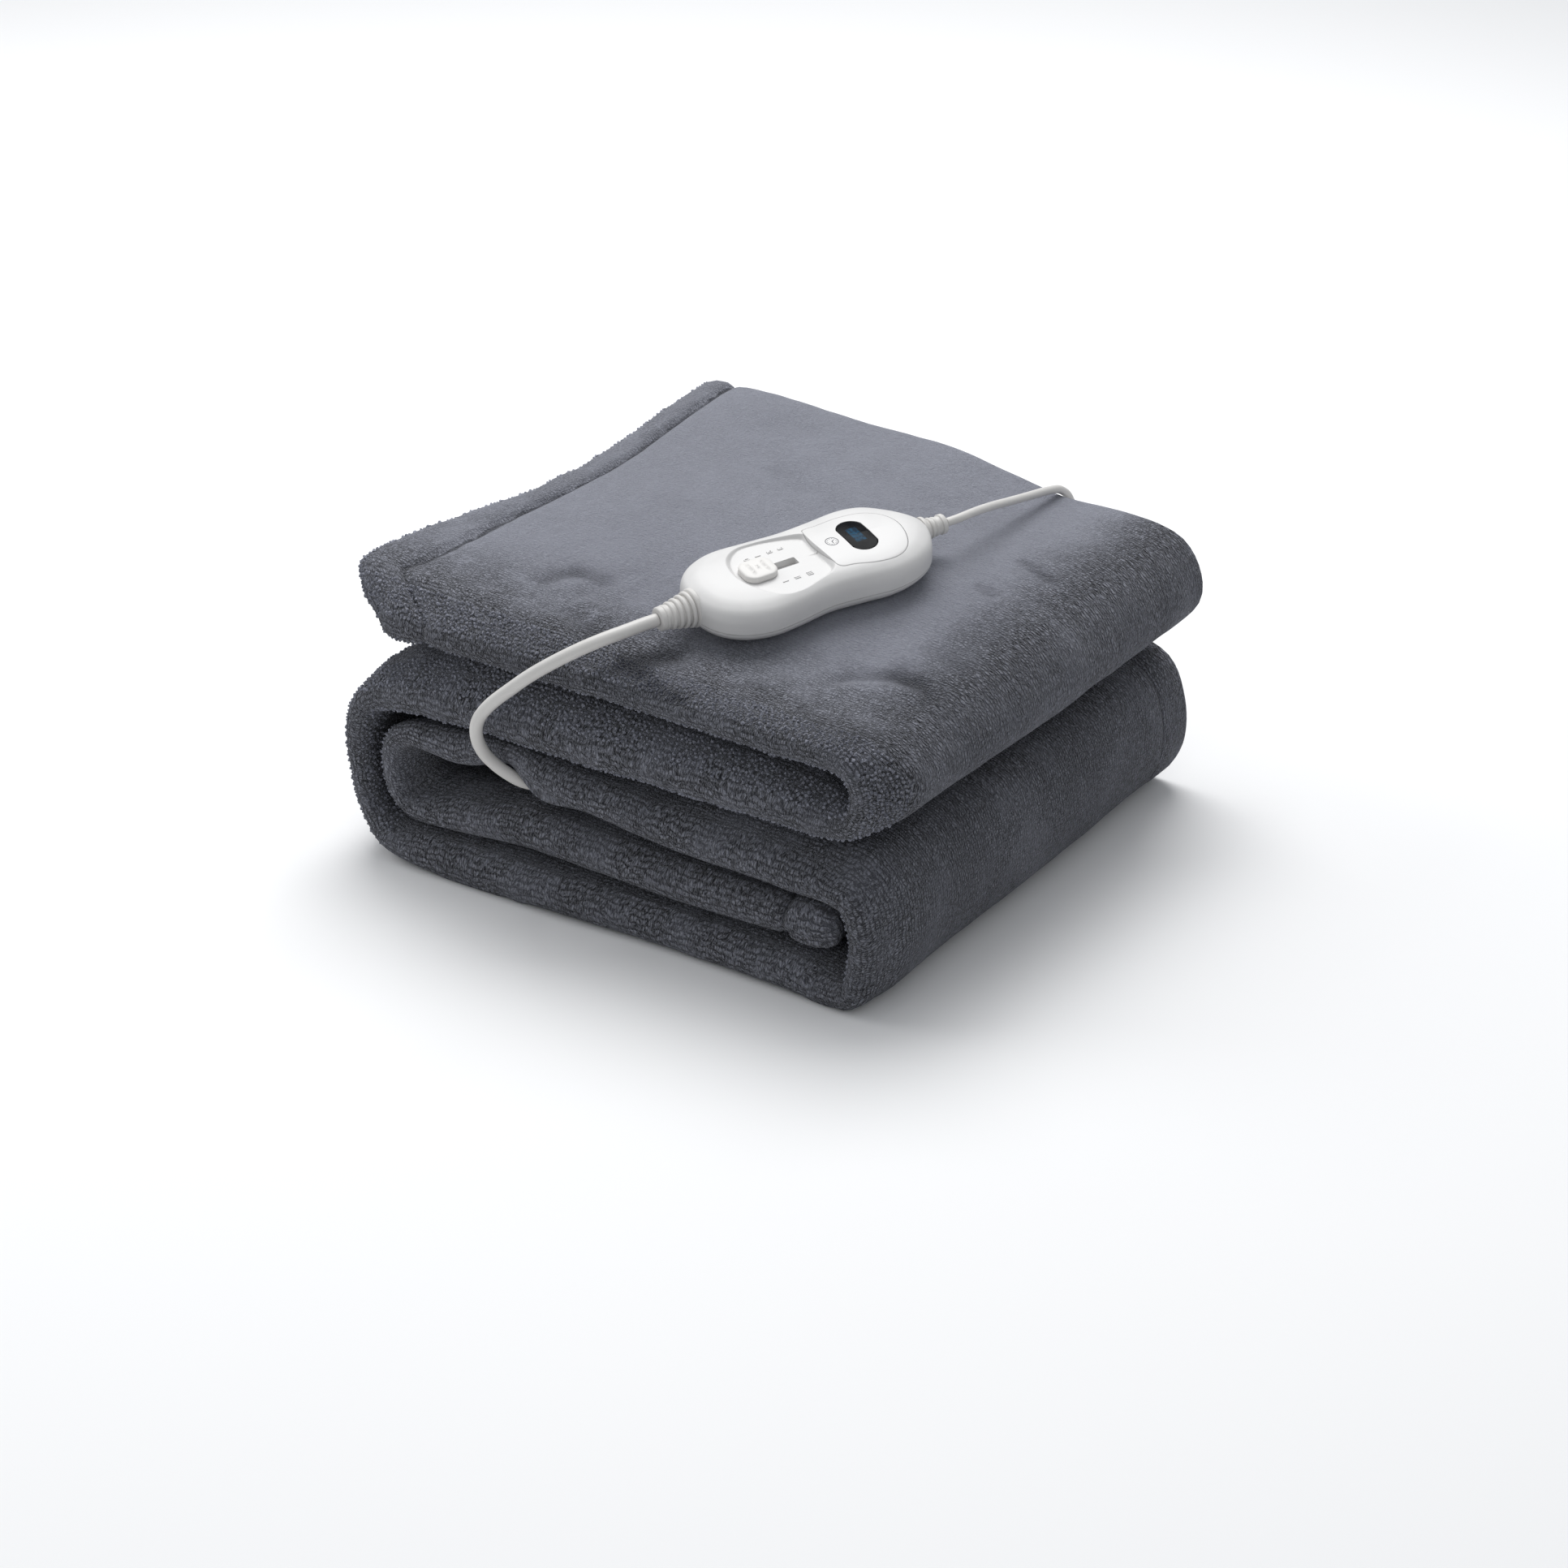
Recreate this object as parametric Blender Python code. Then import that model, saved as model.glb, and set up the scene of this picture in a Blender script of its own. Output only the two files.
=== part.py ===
"""Electric heated throw, folded in four across and in five along, with its slide control on top.

The cloth is one sheet.  Folded in four it makes a strip of four layers, and the strip runs back
and forth: top layer A, right fold, B, big left fold down to the bottom layer E, right fold up to
C, small left fold, D.  +X runs along the layers, +Y from the folded edge in front to the hemmed
edge behind, +Z is up, and the origin is under the middle of the throw and its control.
"""
import math
from collections import namedtuple

import bmesh
import bpy
from mathutils import Matrix, Vector

MM = 0.001
GAP = 0.3                               # play between touching pieces, mm
ORIGIN = Vector((-159.7, 163.6, 0.0))   # middle of the throw in the working frame, mm

# ---------------------------------------------------------------- cloth
STRIP_WIDTH = 333.0     # width of the four-layer strip, a quarter of the throw
SHEET = 3.2             # thickness of one layer of plush cloth
NEST = 1.1              # space between the outer fold and the one inside it
NOSE = 30.0             # depth behind the front folds over which the strip fills out
RISE_FROM = 30.0        # depth from the front at which the top starts to rise
RISE_TO = 190.0         # depth at which the middle rise and the shift are reached
RISE_SHARE = 0.8        # share of the rise that goes into the strip's thickness
SEAT = 0.9              # cloth this close to the floor lies flat on it
HEM_PROFILE = (         # distance from the cut end, share of the cloth's thickness there
    (0.0, 0.45), (2.5, 1.0), (14.0, 1.3), (25.5, 1.2), (27.6, 0.55), (29.8, 1.0))

Bend = namedtuple("Bend", "name steps fx fz ft bx bz bt mid back shift nose")
# One row for each point of the strip's centre line.  f is the folded front edge, b the body of
# the strip behind it: x, height and strip thickness.  mid and back lift the top there, shift
# moves the rear edge along X, and nose moves the front edge along Y.
PATH = (
    Bend("A hem end", 2, -317, 147.5, 18, -350, 160.0, 22, 4, 14, 32, 2),
    Bend("A left", 2, -262, 148.5, 16, -292, 158.5, 24, 8, 18, 16, 0),
    Bend("A middle left", 2, -200, 148.5, 16, -215, 154.5, 24, 15, 18, 3, 0),
    Bend("A middle", 2, -125, 147.5, 16, -135, 149.7, 23, 20, 20, -2, 1),
    Bend("A right", 2, -55, 146.5, 16, -62, 145.5, 21, 18, 12, -4, 0),
    Bend("AB shoulder", 2, -8, 143.5, 15, 0, 142.5, 19, 10, 12, 5, 1),
    Bend("AB out", 2, 0, 125.0, 15, 15, 127.0, 19, 2, 3, 5, 3),
    Bend("AB heel", 2, -8, 107.0, 15, 0, 111.5, 19, 0, 1, 3, 3),
    Bend("B right", 2, -50, 107.0, 21, -50, 113.0, 32, 2, 2, 0, 1),
    Bend("B middle", 2, -125, 107.5, 22, -125, 115.0, 38, 3, 3, 0, 0),
    Bend("B middle left", 2, -205, 107.5, 22, -205, 117.0, 42, 4, 4, 0, -1),
    Bend("B left", 2, -272, 106.5, 21.5, -262, 117.5, 42, 3, 4, 0, 0),
    Bend("BE shoulder", 2, -324, 97.5, 15, -318, 102.0, 28, 0, 2, 4, 1),
    Bend("BE upper", 2, -335.5, 77.0, 15, -338, 78.0, 20, 0, 0, 6, 0),
    Bend("BE lower", 2, -333, 45.0, 15, -336, 46.0, 19, 0, 0, 5, -1),
    Bend("BE ankle", 1, -325.5, 24.5, 15, -331, 27.0, 19, 0, 0, 4, -2),
    Bend("BE heel", 2, -311.5, 11.8, 15, -312, 16.0, 21, 0, 0, 2, -4),
    Bend("E left", 2, -280, 9.5, 19, -280, 13.8, 27, 0, 0, 0, -5),
    Bend("E middle left", 2, -205, 10.5, 21, -205, 14.0, 28, 0, 0, 0, -5),
    Bend("E middle", 2, -125, 10.5, 21, -125, 14.0, 28, 0, 0, 0, -2),
    Bend("E right", 2, -45, 10.0, 20, -45, 13.8, 27, 0, 0, 0, -3),
    Bend("EC heel", 2, -3, 9.5, 15, -1, 13.0, 20, 0, 0, 1, -4),
    Bend("EC lower", 2, 2, 26.0, 15, 10, 30.0, 18, 0, 0, 2, -1),
    Bend("EC upper", 2, 1, 47.0, 15, 9, 57.0, 18, 0, 0, 2, 1),
    Bend("EC shoulder", 2, -8, 63.0, 15, -4, 75.5, 20, 0, 0, 3, 1),
    Bend("C right", 2, -50, 69.0, 20, -50, 77.0, 31, 0, 0, 0, 0),
    Bend("C middle", 2, -110, 70.5, 20, -110, 77.5, 31, 0, 0, 0, 0),
    Bend("C middle left", 2, -165, 75.0, 19.5, -165, 79.5, 28, 0, 0, 0, 1),
    Bend("C beside lead", 1, -204, 79.6, 18.4, -204, 84.0, 24, 0, 0, 0, 1),
    Bend("C left", 2, -230, 87.3, 14.5, -230, 86.2, 19, 0, 0, 0, 4.5),
    Bend("C far left", 2, -266, 81.0, 19.5, -264, 81.5, 24, 0, 0, 0, 2),
    Bend("CD shoulder", 2, -300, 81.0, 14, -290, 78.5, 20, 0, 0, 2, 2),
    Bend("CD upper", 2, -311.5, 70.0, 13.5, -305, 68.5, 17, 0, 0, 3, 2),
    Bend("CD lower", 2, -310.5, 46.0, 14, -303, 50.5, 17, 0, 0, 3, 2),
    Bend("CD heel", 2, -298, 33.5, 14.5, -287, 41.5, 20, 0, 0, 2, 3),
    Bend("D left", 2, -215, 42.4, 22, -215, 45.0, 29, 0, 0, 0, 1),
    Bend("D middle", 1, -130, 40.5, 22, -130, 44.5, 30, 0, 0, 0, 0),
    Bend("D right", 1, -60, 41.5, 21, -60, 43.5, 29, 0, 0, 0, 1),
    Bend("D hem end", 1, -13, 40.5, 22, -17, 42.5, 24, 0, 0, -2, 2),
)

# ---------------------------------------------------------------- control
HANDSET_AT = Vector((-108.0, 124.5, 186.1))     # middle of the line between its two ends, mm
HANDSET_YAW = math.radians(64.3)
HANDSET_PITCH = math.radians(-4.9)              # its mains end is the higher one
HANDSET_ROLL = math.radians(9.5)                # its near side is the lower one
RING_POINTS = 52
# outline of the housing seen from above, along and across, clockwise from the cord end
HOUSING_OUTLINE = (
    (-76, -3), (-75, 8), (-71, 19), (-62, 27), (-48, 31.5), (-27, 30.5), (-5, 29), (15, 30),
    (36, 31.5), (50, 28), (61, 18.5), (69, 8), (73, -2), (71, -13), (63, -25), (50, -32.5),
    (34, -35.5), (15, -33.5), (-5, -32), (-26, -35), (-44, -36), (-60, -31), (-71, -20))
OUTLINE_REACH = (75.0, 33.5)                    # half length and half width that it spans
PARTING = -4.0                                  # height of the parting line
TOP_LEVELS = (                                  # height, how far the wall has drawn in
    (PARTING, 0.0), (3.0, 0.2), (7.5, 1.5), (10.2, 4.4), (12.2, 9.3), (13.3, 14.7), (14.0, 22.0))
BASE_LEVELS = ((PARTING - GAP, 0.0), (-8.0, 1.6), (-11.0, 5.2), (-13.0, 11.0), (-14.0, 18.0))

TRAY_OUTLINE = (                                # sunk field that the slider runs in
    (-46.5, 2), (-43, 13), (-34, 20.5), (-24, 21), (-11, 18.5), (-1, 15), (2.3, 12), (2.3, -18),
    (0, -21.5), (-10, -25), (-21, -28), (-32, -27), (-41, -19), (-46, -8))
TRAY_FLOOR = 10.8
KNOB_AT = (-34.6, -2.5)
KNOB_SIZE = (20.0, 18.0, 3.2)
KNOB_ROUNDING = 6.5
KNOB_TRAVEL = 21.0                              # four settings, a little over 7 mm apart
STEM_SIZE = (6.0, 5.6, 3.4)
SLOT_DEPTH = 4.2
RIDGE_SIZE = (0.9, 9.5, 0.5)
RIDGE_PITCH = 4.2
PANEL_OUTLINE = (                               # inset plate round the display
    (4.6, 16.5), (15, 17.7), (28, 18.3), (41, 16.2), (49, 11.5), (53.5, 4.5), (55, -4),
    (53.8, -13), (50, -21.5), (44, -26.5), (36, -28.4), (26, -27.5), (14, -24), (7, -22.5),
    (4.6, -19))
PANEL_FLOOR = 11.0
WINDOW_AT = (28.4, -2.8)
WINDOW_SIZE = (16.2, 29.4)                      # flat sides this far apart, rounded ends
WINDOW_FLOOR = 12.4

Gland = namedtuple("Gland", "name root turn length stations")
# radius along each strain relief, from the housing outwards
BLANKET_GLAND_PROFILE = (
    (-1.6, 10.9), (0.2, 10.9), (0.9, 10.0), (2.6, 9.8), (3.1, 8.6), (4.0, 8.5), (4.6, 9.4),
    (6.6, 9.0), (7.1, 7.6), (8.1, 7.5), (8.6, 8.5), (10.7, 8.1), (11.2, 6.8), (12.1, 6.7),
    (12.6, 7.6), (14.8, 7.2), (15.3, 6.0), (16.2, 5.9), (16.7, 6.8), (20.4, 6.4), (21.0, 5.8))
MAINS_GLAND_PROFILE = (
    (-3.6, 8.0), (-1.0, 7.4), (0.6, 7.1), (0.9, 6.7), (1.3, 6.7), (1.6, 7.0), (3.6, 6.6),
    (3.9, 6.1), (4.3, 6.1), (4.6, 6.4), (6.6, 6.1), (6.9, 5.6), (7.3, 5.6), (7.6, 5.9),
    (9.4, 5.7), (9.7, 5.2), (10.1, 5.2), (10.4, 5.9), (13.0, 6.0), (13.6, 5.4))
GLAND_STEPS = 20
BLANKET_GLAND_ROOT = -74.6
MAINS_GLAND_ROOT = 74.0

# ---------------------------------------------------------------- cords
LEAD_DIAMETER = 7.4
MAINS_DIAMETER = 5.0
# route of the lead from the control down the front and in between layers C and D
LEAD_ROUTE = (
    (-149.5, 38.3, 177.9), (-153.1, 30.8, 177.2), (-158.0, 20.0, 175.9), (-164.0, 9.5, 174.0),
    (-172.0, 0.0, 170.1), (-183.0, -7.5, 163.1), (-197.0, -12.4, 152.7), (-210.2, -14.9, 141.2),
    (-221.2, -16.6, 131.0), (-228.8, -17.2, 121.7), (-233.0, -16.0, 112.7), (-234.8, -13.0, 103.4),
    (-234.4, -8.3, 93.7), (-232.2, -3.0, 85.8), (-228.4, 2.4, 79.0), (-223.0, 9.6, 71.9),
    (-217.4, 19.0, 67.2), (-212.5, 30.0, 65.0))
# route of the mains lead over the rear edge and down behind the throw
MAINS_ROUTE = (
    (-69.3, 204.9, 193.7), (-66.4, 210.9, 194.3), (-64.6, 219.0, 194.3), (-64.2, 230.0, 193.0),
    (-64.8, 242.0, 190.6), (-65.6, 256.0, 187.4), (-66.0, 270.0, 184.2), (-66.2, 284.0, 181.2),
    (-66.2, 299.0, 178.2), (-66.0, 314.0, 175.2), (-65.8, 327.0, 171.4), (-65.5, 338.0, 163.0),
    (-65.2, 344.5, 150.0), (-65.0, 347.8, 132.0), (-65.0, 349.0, 110.0), (-65.0, 349.2, 86.0),
    (-65.5, 349.5, 60.0), (-68.0, 351.0, 37.0), (-76.0, 354.0, 17.5), (-92.0, 357.5, 6.0),
    (-115.0, 359.5, 3.0), (-150.0, 359.8, 3.0), (-185.0, 359.9, 3.4), (-212.0, 360.0, 6.0),
    (-236.0, 360.0, 8.6))
TAIL_ROUTE = (
    (-238.0, 446.0, 8.6), (-222.0, 446.0, 8.1), (-206.0, 445.8, 7.5), (-190.0, 445.4, 6.9),
    (-178.6, 445.2, 6.75))
COIL_AT = (-235.0, 403.0)
COIL_RADIUS = 31.0          # to the middle of its turns
COIL_BUNDLE = (9.2, 7.6)    # half width and half height of the bundle of turns
COIL_FLOOR = 1.4            # the tie runs under the coil
COIL_STEPS = 36
TIE_WALL = 1.1
TIE_WIDTH = 9.0

PLUG_AT = Vector((-178.3, 445.2, 6.75))          # where the lead enters the plug
PLUG_SECTIONS = (                               # distance, half width, half height
    (0.0, 3.6, 3.6), (9.0, 4.2, 4.0), (17.0, 5.2, 4.6), (20.0, 9.5, 6.6), (24.0, 12.6, 6.8),
    (34.0, 14.0, 6.8), (44.0, 16.2, 6.8), (51.0, 17.6, 6.8), (53.5, 17.2, 6.2))
PLUG_RING = 20
PIN_RADIUS = 2.0
PIN_LENGTH = 19.0
PIN_SPREAD = 9.3

Finish = namedtuple("Finish", "color roughness metallic")
FINISHES = {
    "plush": Finish((0.20, 0.205, 0.235, 1), 0.95, 0.0),
    "housing": Finish((0.86, 0.855, 0.85, 1), 0.4, 0.0),
    "knob": Finish((0.88, 0.87, 0.865, 1), 0.42, 0.0),
    "panel": Finish((0.87, 0.87, 0.87, 1), 0.35, 0.0),
    "window": Finish((0.01, 0.012, 0.016, 1), 0.08, 0.0),
    "cable": Finish((0.84, 0.835, 0.825, 1), 0.45, 0.0),
    "tie": Finish((0.03, 0.03, 0.03, 1), 0.6, 0.0),
    "pin": Finish((0.75, 0.74, 0.72, 1), 0.25, 1.0),
}


# ---------------------------------------------------------------- helpers
def clear_scene():
    for obj in list(bpy.data.objects):
        bpy.data.objects.remove(obj, do_unlink=True)


def collection(name):
    made = bpy.data.collections.new(name)
    bpy.context.scene.collection.children.link(made)
    return made


def finish(name):
    """The named Principled material, made once."""
    if name in bpy.data.materials:
        return bpy.data.materials[name]
    made = bpy.data.materials.new(name)
    made.use_nodes = True
    shader = made.node_tree.nodes["Principled BSDF"]
    shader.inputs["Base Color"].default_value = FINISHES[name].color
    shader.inputs["Roughness"].default_value = FINISHES[name].roughness
    shader.inputs["Metallic"].default_value = FINISHES[name].metallic
    return made


def add_object(name, data, into, material=None, parent=None):
    obj = bpy.data.objects.new(name, data)
    into.objects.link(obj)
    obj.parent = parent
    if material:
        data.materials.append(finish(material))
    return obj


def mesh_object(name, bm, into, material=None, parent=None, smooth_angle=35):
    """Close the bmesh, turn its faces out and link it as an object."""
    bmesh.ops.recalc_face_normals(bm, faces=bm.faces)
    data = bpy.data.meshes.new(name)
    bm.to_mesh(data)
    bm.free()
    data.shade_smooth()
    data.set_sharp_from_angle(angle=math.radians(smooth_angle))
    return add_object(name, data, into, material, parent)


def smooth(t):
    t = min(max(t, 0.0), 1.0)
    return t * t * (3.0 - 2.0 * t)


def mix(a, b, t):
    return a + (b - a) * t


def knots(points):
    """Running chord length along a list of vectors."""
    at = [0.0]
    for here, there in zip(points, points[1:]):
        at.append(at[-1] + (there - here).length)
    return at


def slopes(at, values):
    """Slope of a smooth curve through values given at uneven places."""
    found = []
    last = len(values) - 1
    for i in range(len(values)):
        low, high = max(i - 1, 0), min(i + 1, last)
        found.append((values[high] - values[low]) / (at[high] - at[low]))
    return found


def hermite(at, values, tangents, u):
    """Value at u of the smooth curve through values, for numbers and for vectors alike."""
    i = 0
    while i < len(at) - 2 and u > at[i + 1]:
        i += 1
    span = at[i + 1] - at[i]
    t = (u - at[i]) / span
    near, far = (1 + 2 * t) * (1 - t) ** 2, t * t * (3 - 2 * t)
    leave, arrive = t * (1 - t) ** 2 * span, t * t * (t - 1) * span
    return values[i] * near + values[i + 1] * far + tangents[i] * leave + tangents[i + 1] * arrive


def smooth_route(points, spacing):
    """Evenly spaced points on one smooth curve through the route's own points."""
    route = [Vector(p) for p in points]
    at = knots(route)
    tangents = slopes(at, route)
    count = max(2, round(at[-1] / spacing))
    return [hermite(at, route, tangents, at[-1] * i / count) for i in range(count + 1)]


def closed_outline(points, count):
    """Count points on a smooth closed curve through the outline's own points."""
    ring = [Vector(p) for p in points]
    wrapped = ring[-2:] + ring + ring[:3]
    at = knots(wrapped)
    tangents = slopes(at, wrapped)
    start, length = at[2], at[2 + len(ring)] - at[2]
    return [hermite(at, wrapped, tangents, start + length * i / count) for i in range(count)]


# ---------------------------------------------------------------- the folded cloth
class Strip:
    """Centre line, thickness and rise of the strip at any length u and depth y."""

    def __init__(self):
        self.at = knots([Vector((b.bx, b.bz)) for b in PATH])
        self.columns = {}
        for field in Bend._fields[2:]:
            values = [float(getattr(bend, field)) for bend in PATH]
            self.columns[field] = (values, slopes(self.at, values))
        self.length = self.at[-1]

    def column(self, field, u):
        values, tangents = self.columns[field]
        return hermite(self.at, values, tangents, min(max(u, 0.0), self.length))

    def at_depth(self, u, y):
        """x, height and strip thickness at length u, y behind the front edge."""
        body = smooth(y / NOSE)
        to_mid = smooth((y - RISE_FROM) / (RISE_TO - RISE_FROM))
        to_back = smooth((y - RISE_TO) / (STRIP_WIDTH - RISE_TO))
        mid, back = self.column("mid", u), self.column("back", u)
        rise = mid * to_mid + (back - mid) * to_back
        x = mix(self.column("fx", u), self.column("bx", u), body) + self.column("shift", u) * to_mid
        z = mix(self.column("fz", u), self.column("bz", u), body)
        thick = mix(self.column("ft", u), self.column("bt", u), body)
        return x, z + rise * (1 - RISE_SHARE / 2), thick + rise * RISE_SHARE

    def normal(self, u, y):
        """Unit normal of the centre line, to the left of its direction, in the XZ plane."""
        step = 0.5
        x0, z0, _ = self.at_depth(max(u - step, 0.0), y)
        x1, z1, _ = self.at_depth(min(u + step, self.length), y)
        along = Vector((x1 - x0, z1 - z0)).normalized()
        return Vector((-along.y, along.x))

    def stations(self):
        """Lengths at which a section stands, each with the cloth's share of thickness."""
        hem = HEM_PROFILE[-1][0]
        found = list(HEM_PROFILE)
        for bend, start, end in zip(PATH, self.at, self.at[1:]):
            for i in range(bend.steps):
                u = mix(start, end, i / bend.steps)
                if hem + 4.0 < u < self.length - hem - 4.0:
                    found.append((u, 1.0))
        found += [(self.length - reach, share) for reach, share in reversed(HEM_PROFILE)]
        return found


def section_rows(pitch):
    """The four layers across the strip: layer place in pitches, depth, half thickness.

    From the hemmed edge of the outer layer round the front folds and back: outer layer, front
    fold, other outer layer, rear fold, inner layer, inner front fold, last layer and its hem.
    """
    half = SHEET / 2
    hem = [(STRIP_WIDTH - 1.0, 1.0), (STRIP_WIDTH - 4.0, 2.1), (STRIP_WIDTH - 25.0, 1.9),
           (STRIP_WIDTH - 27.6, 0.9), (STRIP_WIDTH - 30.0, half)]
    outer = [200.0, 100.0, 38.0, 23.0, 14.0]
    inner = [170.0, 24.0]
    rows = [(-1.5, y, h) for y, h in hem]
    rows += [(-1.5, y, half) for y in outer]
    for degrees in (0, 45, 90, 135, 180):
        turn = math.radians(degrees)
        rows.append((-1.5 * math.cos(turn), half + 1.5 * pitch * (1 - math.sin(turn)), half))
    rows += [(1.5, y, half) for y in reversed(outer)]
    rows.append((1.5, STRIP_WIDTH - 18.0, half))
    for degrees in (30, 90, 150):
        turn = math.radians(degrees)
        rows.append((1.0 + 0.5 * math.cos(turn), STRIP_WIDTH - 9.5 + 7.0 * math.sin(turn), half))
    rows += [(0.5, y, half) for y in inner]
    front = SHEET + NEST + half
    for degrees in (30, 90, 150):
        turn = math.radians(degrees)
        rows.append((0.5 * math.cos(turn), front + 0.5 * pitch * (1 - math.sin(turn)), half))
    rows += [(-0.5, y, half) for y in reversed(inner)]
    rows += [(-0.5, y - 5.0, h) for y, h in reversed(hem[::2])]
    return rows


def section_at(strip, u, share):
    """Points on the two faces of the cloth, right round the section at length u."""
    front_pitch = (strip.column("ft", u) - SHEET) / 3
    nose = strip.column("nose", u)
    middle, flat = [], []
    for place, depth, half in section_rows(front_pitch):
        x, z, thick = strip.at_depth(u, depth)
        normal = strip.normal(u, depth)
        offset = place * (thick - SHEET) / 3
        y = depth + nose * (1 - smooth(depth / STRIP_WIDTH))
        middle.append((Vector((x + normal.x * offset, y, z + normal.y * offset)), normal, half))
        flat.append(Vector((offset, y)))
    left, right = [], []
    last = len(flat) - 1
    for i, (point, normal, half) in enumerate(middle):
        along = (flat[min(i + 1, last)] - flat[max(i - 1, 0)]).normalized()
        across = Vector((normal.x * along.y, -along.x, normal.y * along.y)) * half * share
        left.append(point + across)
        right.append(point - across)
    return left + right[::-1]


def build_blanket(into):
    strip = Strip()
    bm = bmesh.new()
    rings = []
    for u, share in strip.stations():
        ring = []
        for point in section_at(strip, u, share):
            height = 0.0 if point.z < SEAT else point.z
            place = Vector((point.x, point.y, height)) - ORIGIN
            ring.append(bm.verts.new(place * MM))
        rings.append(ring)
    count = len(rings[0])
    for here, there in zip(rings, rings[1:]):
        for i in range(count):
            j = (i + 1) % count
            bm.faces.new((here[i], here[j], there[j], there[i]))
    for ring in (rings[0], rings[-1]):
        for i in range(count // 2 - 1):
            bm.faces.new((ring[i], ring[i + 1], ring[count - 2 - i], ring[count - 1 - i]))
    bmesh.ops.triangulate(bm, faces=bm.faces)
    return mesh_object("blanket", bm, into, "plush", smooth_angle=50)


# ---------------------------------------------------------------- the control
def housing_ring(outline, height, inset):
    """The housing's outline at a height where the wall has drawn in by inset."""
    along, across = OUTLINE_REACH
    middle = (max(p.y for p in outline) + min(p.y for p in outline)) / 2
    grow = Vector((1 - inset / along, 1 - inset / across))
    return [Vector((p.x * grow.x, middle + (p.y - middle) * grow.y, height)) for p in outline]


def loft(bm, rings):
    """Skin the rings, which have equal counts, and close both ends."""
    made = [[bm.verts.new(p * MM) for p in ring] for ring in rings]
    count = len(made[0])
    for here, there in zip(made, made[1:]):
        for i in range(count):
            j = (i + 1) % count
            bm.faces.new((here[i], here[j], there[j], there[i]))
    bm.faces.new(made[0])
    bm.faces.new(made[-1])


def housing_solid(name, levels, into, material, frame):
    outline = closed_outline(HOUSING_OUTLINE, RING_POINTS)
    bm = bmesh.new()
    loft(bm, [housing_ring(outline, height, inset) for height, inset in levels])
    return mesh_object(name, bm, into, material, frame)


def prism(name, outline, low, high, into, frame, shrink=0.0, material=None, draft=0.0):
    """Upright prism on a closed outline, drawn in by shrink, its mouth wider by draft."""
    def moved(amount):
        points = []
        for before, here, after in zip(outline[-1:] + outline[:-1], outline,
                                       outline[1:] + outline[:1]):
            along = (after - before).normalized()
            points.append(here + Vector((along.y, -along.x)) * amount * turn)
        return points

    area = sum(p.x * q.y - q.x * p.y for p, q in zip(outline, outline[1:] + outline[:1]))
    turn = 1.0 if area > 0 else -1.0
    low_ring = [p.to_3d() + Vector((0, 0, low)) for p in moved(-shrink)]
    high_ring = [p.to_3d() + Vector((0, 0, high)) for p in moved(draft - shrink)]
    bm = bmesh.new()
    loft(bm, [low_ring, high_ring])
    obj = mesh_object(name, bm, into, material, frame)
    if material is None:
        obj.hide_render = True
        obj.display_type = "WIRE"
    return obj


def boolean(obj, other, operation):
    cut = obj.modifiers.new(other.name, "BOOLEAN")
    cut.object = other
    cut.operation = operation
    cut.solver = "EXACT"


def rounded_rectangle(size, rounding, steps=4, at=(0.0, 0.0)):
    """Corner arcs of a rectangle, counter-clockwise."""
    points = []
    for corner in range(4):
        sign_x = 1 if corner in (0, 3) else -1
        sign_y = 1 if corner in (0, 1) else -1
        centre = Vector((at[0] + sign_x * (size[0] / 2 - rounding),
                         at[1] + sign_y * (size[1] / 2 - rounding)))
        for i in range(steps + 1):
            turn = math.pi / 2 * (corner + i / steps)
            points.append(centre + Vector((math.cos(turn), math.sin(turn))) * rounding)
    return points


def window_outline(steps=6):
    """Two flat sides joined by arcs, the display window seen from above."""
    half_x, half_y = WINDOW_SIZE[0] / 2, WINDOW_SIZE[1] / 2
    flat = 9.0
    radius = (half_x ** 2 + (half_y - flat) ** 2) / (2 * (half_y - flat))
    spread = math.asin(half_x / radius)
    points = []
    for sign in (1, -1):
        centre = half_y - radius
        for i in range(steps + 1):
            turn = mix(spread, -spread, i / steps)
            across = sign * (centre + radius * math.cos(turn))
            points.append(Vector((WINDOW_AT[0] - sign * radius * math.sin(turn),
                                  WINDOW_AT[1] + across)))
    return points


def gland_seat(name, inner_end, root, turn, into, frame):
    """Socket for a strain relief in the end of the housing."""
    reach, radius = inner_end
    depth = 20.0
    bm = bmesh.new()
    bmesh.ops.create_cone(bm, cap_ends=True, segments=GLAND_STEPS, depth=depth * MM,
                          radius1=(radius + 2 * GAP) * MM, radius2=(radius + 2 * GAP) * MM)
    seat = mesh_object(name, bm, into, None, frame)
    seat.location = Vector((root + turn * (reach - GAP + depth / 2), 0.0, 0.0)) * MM
    seat.rotation_euler = (0.0, math.radians(90.0), 0.0)
    seat.hide_render = True
    seat.display_type = "WIRE"
    return seat


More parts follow.
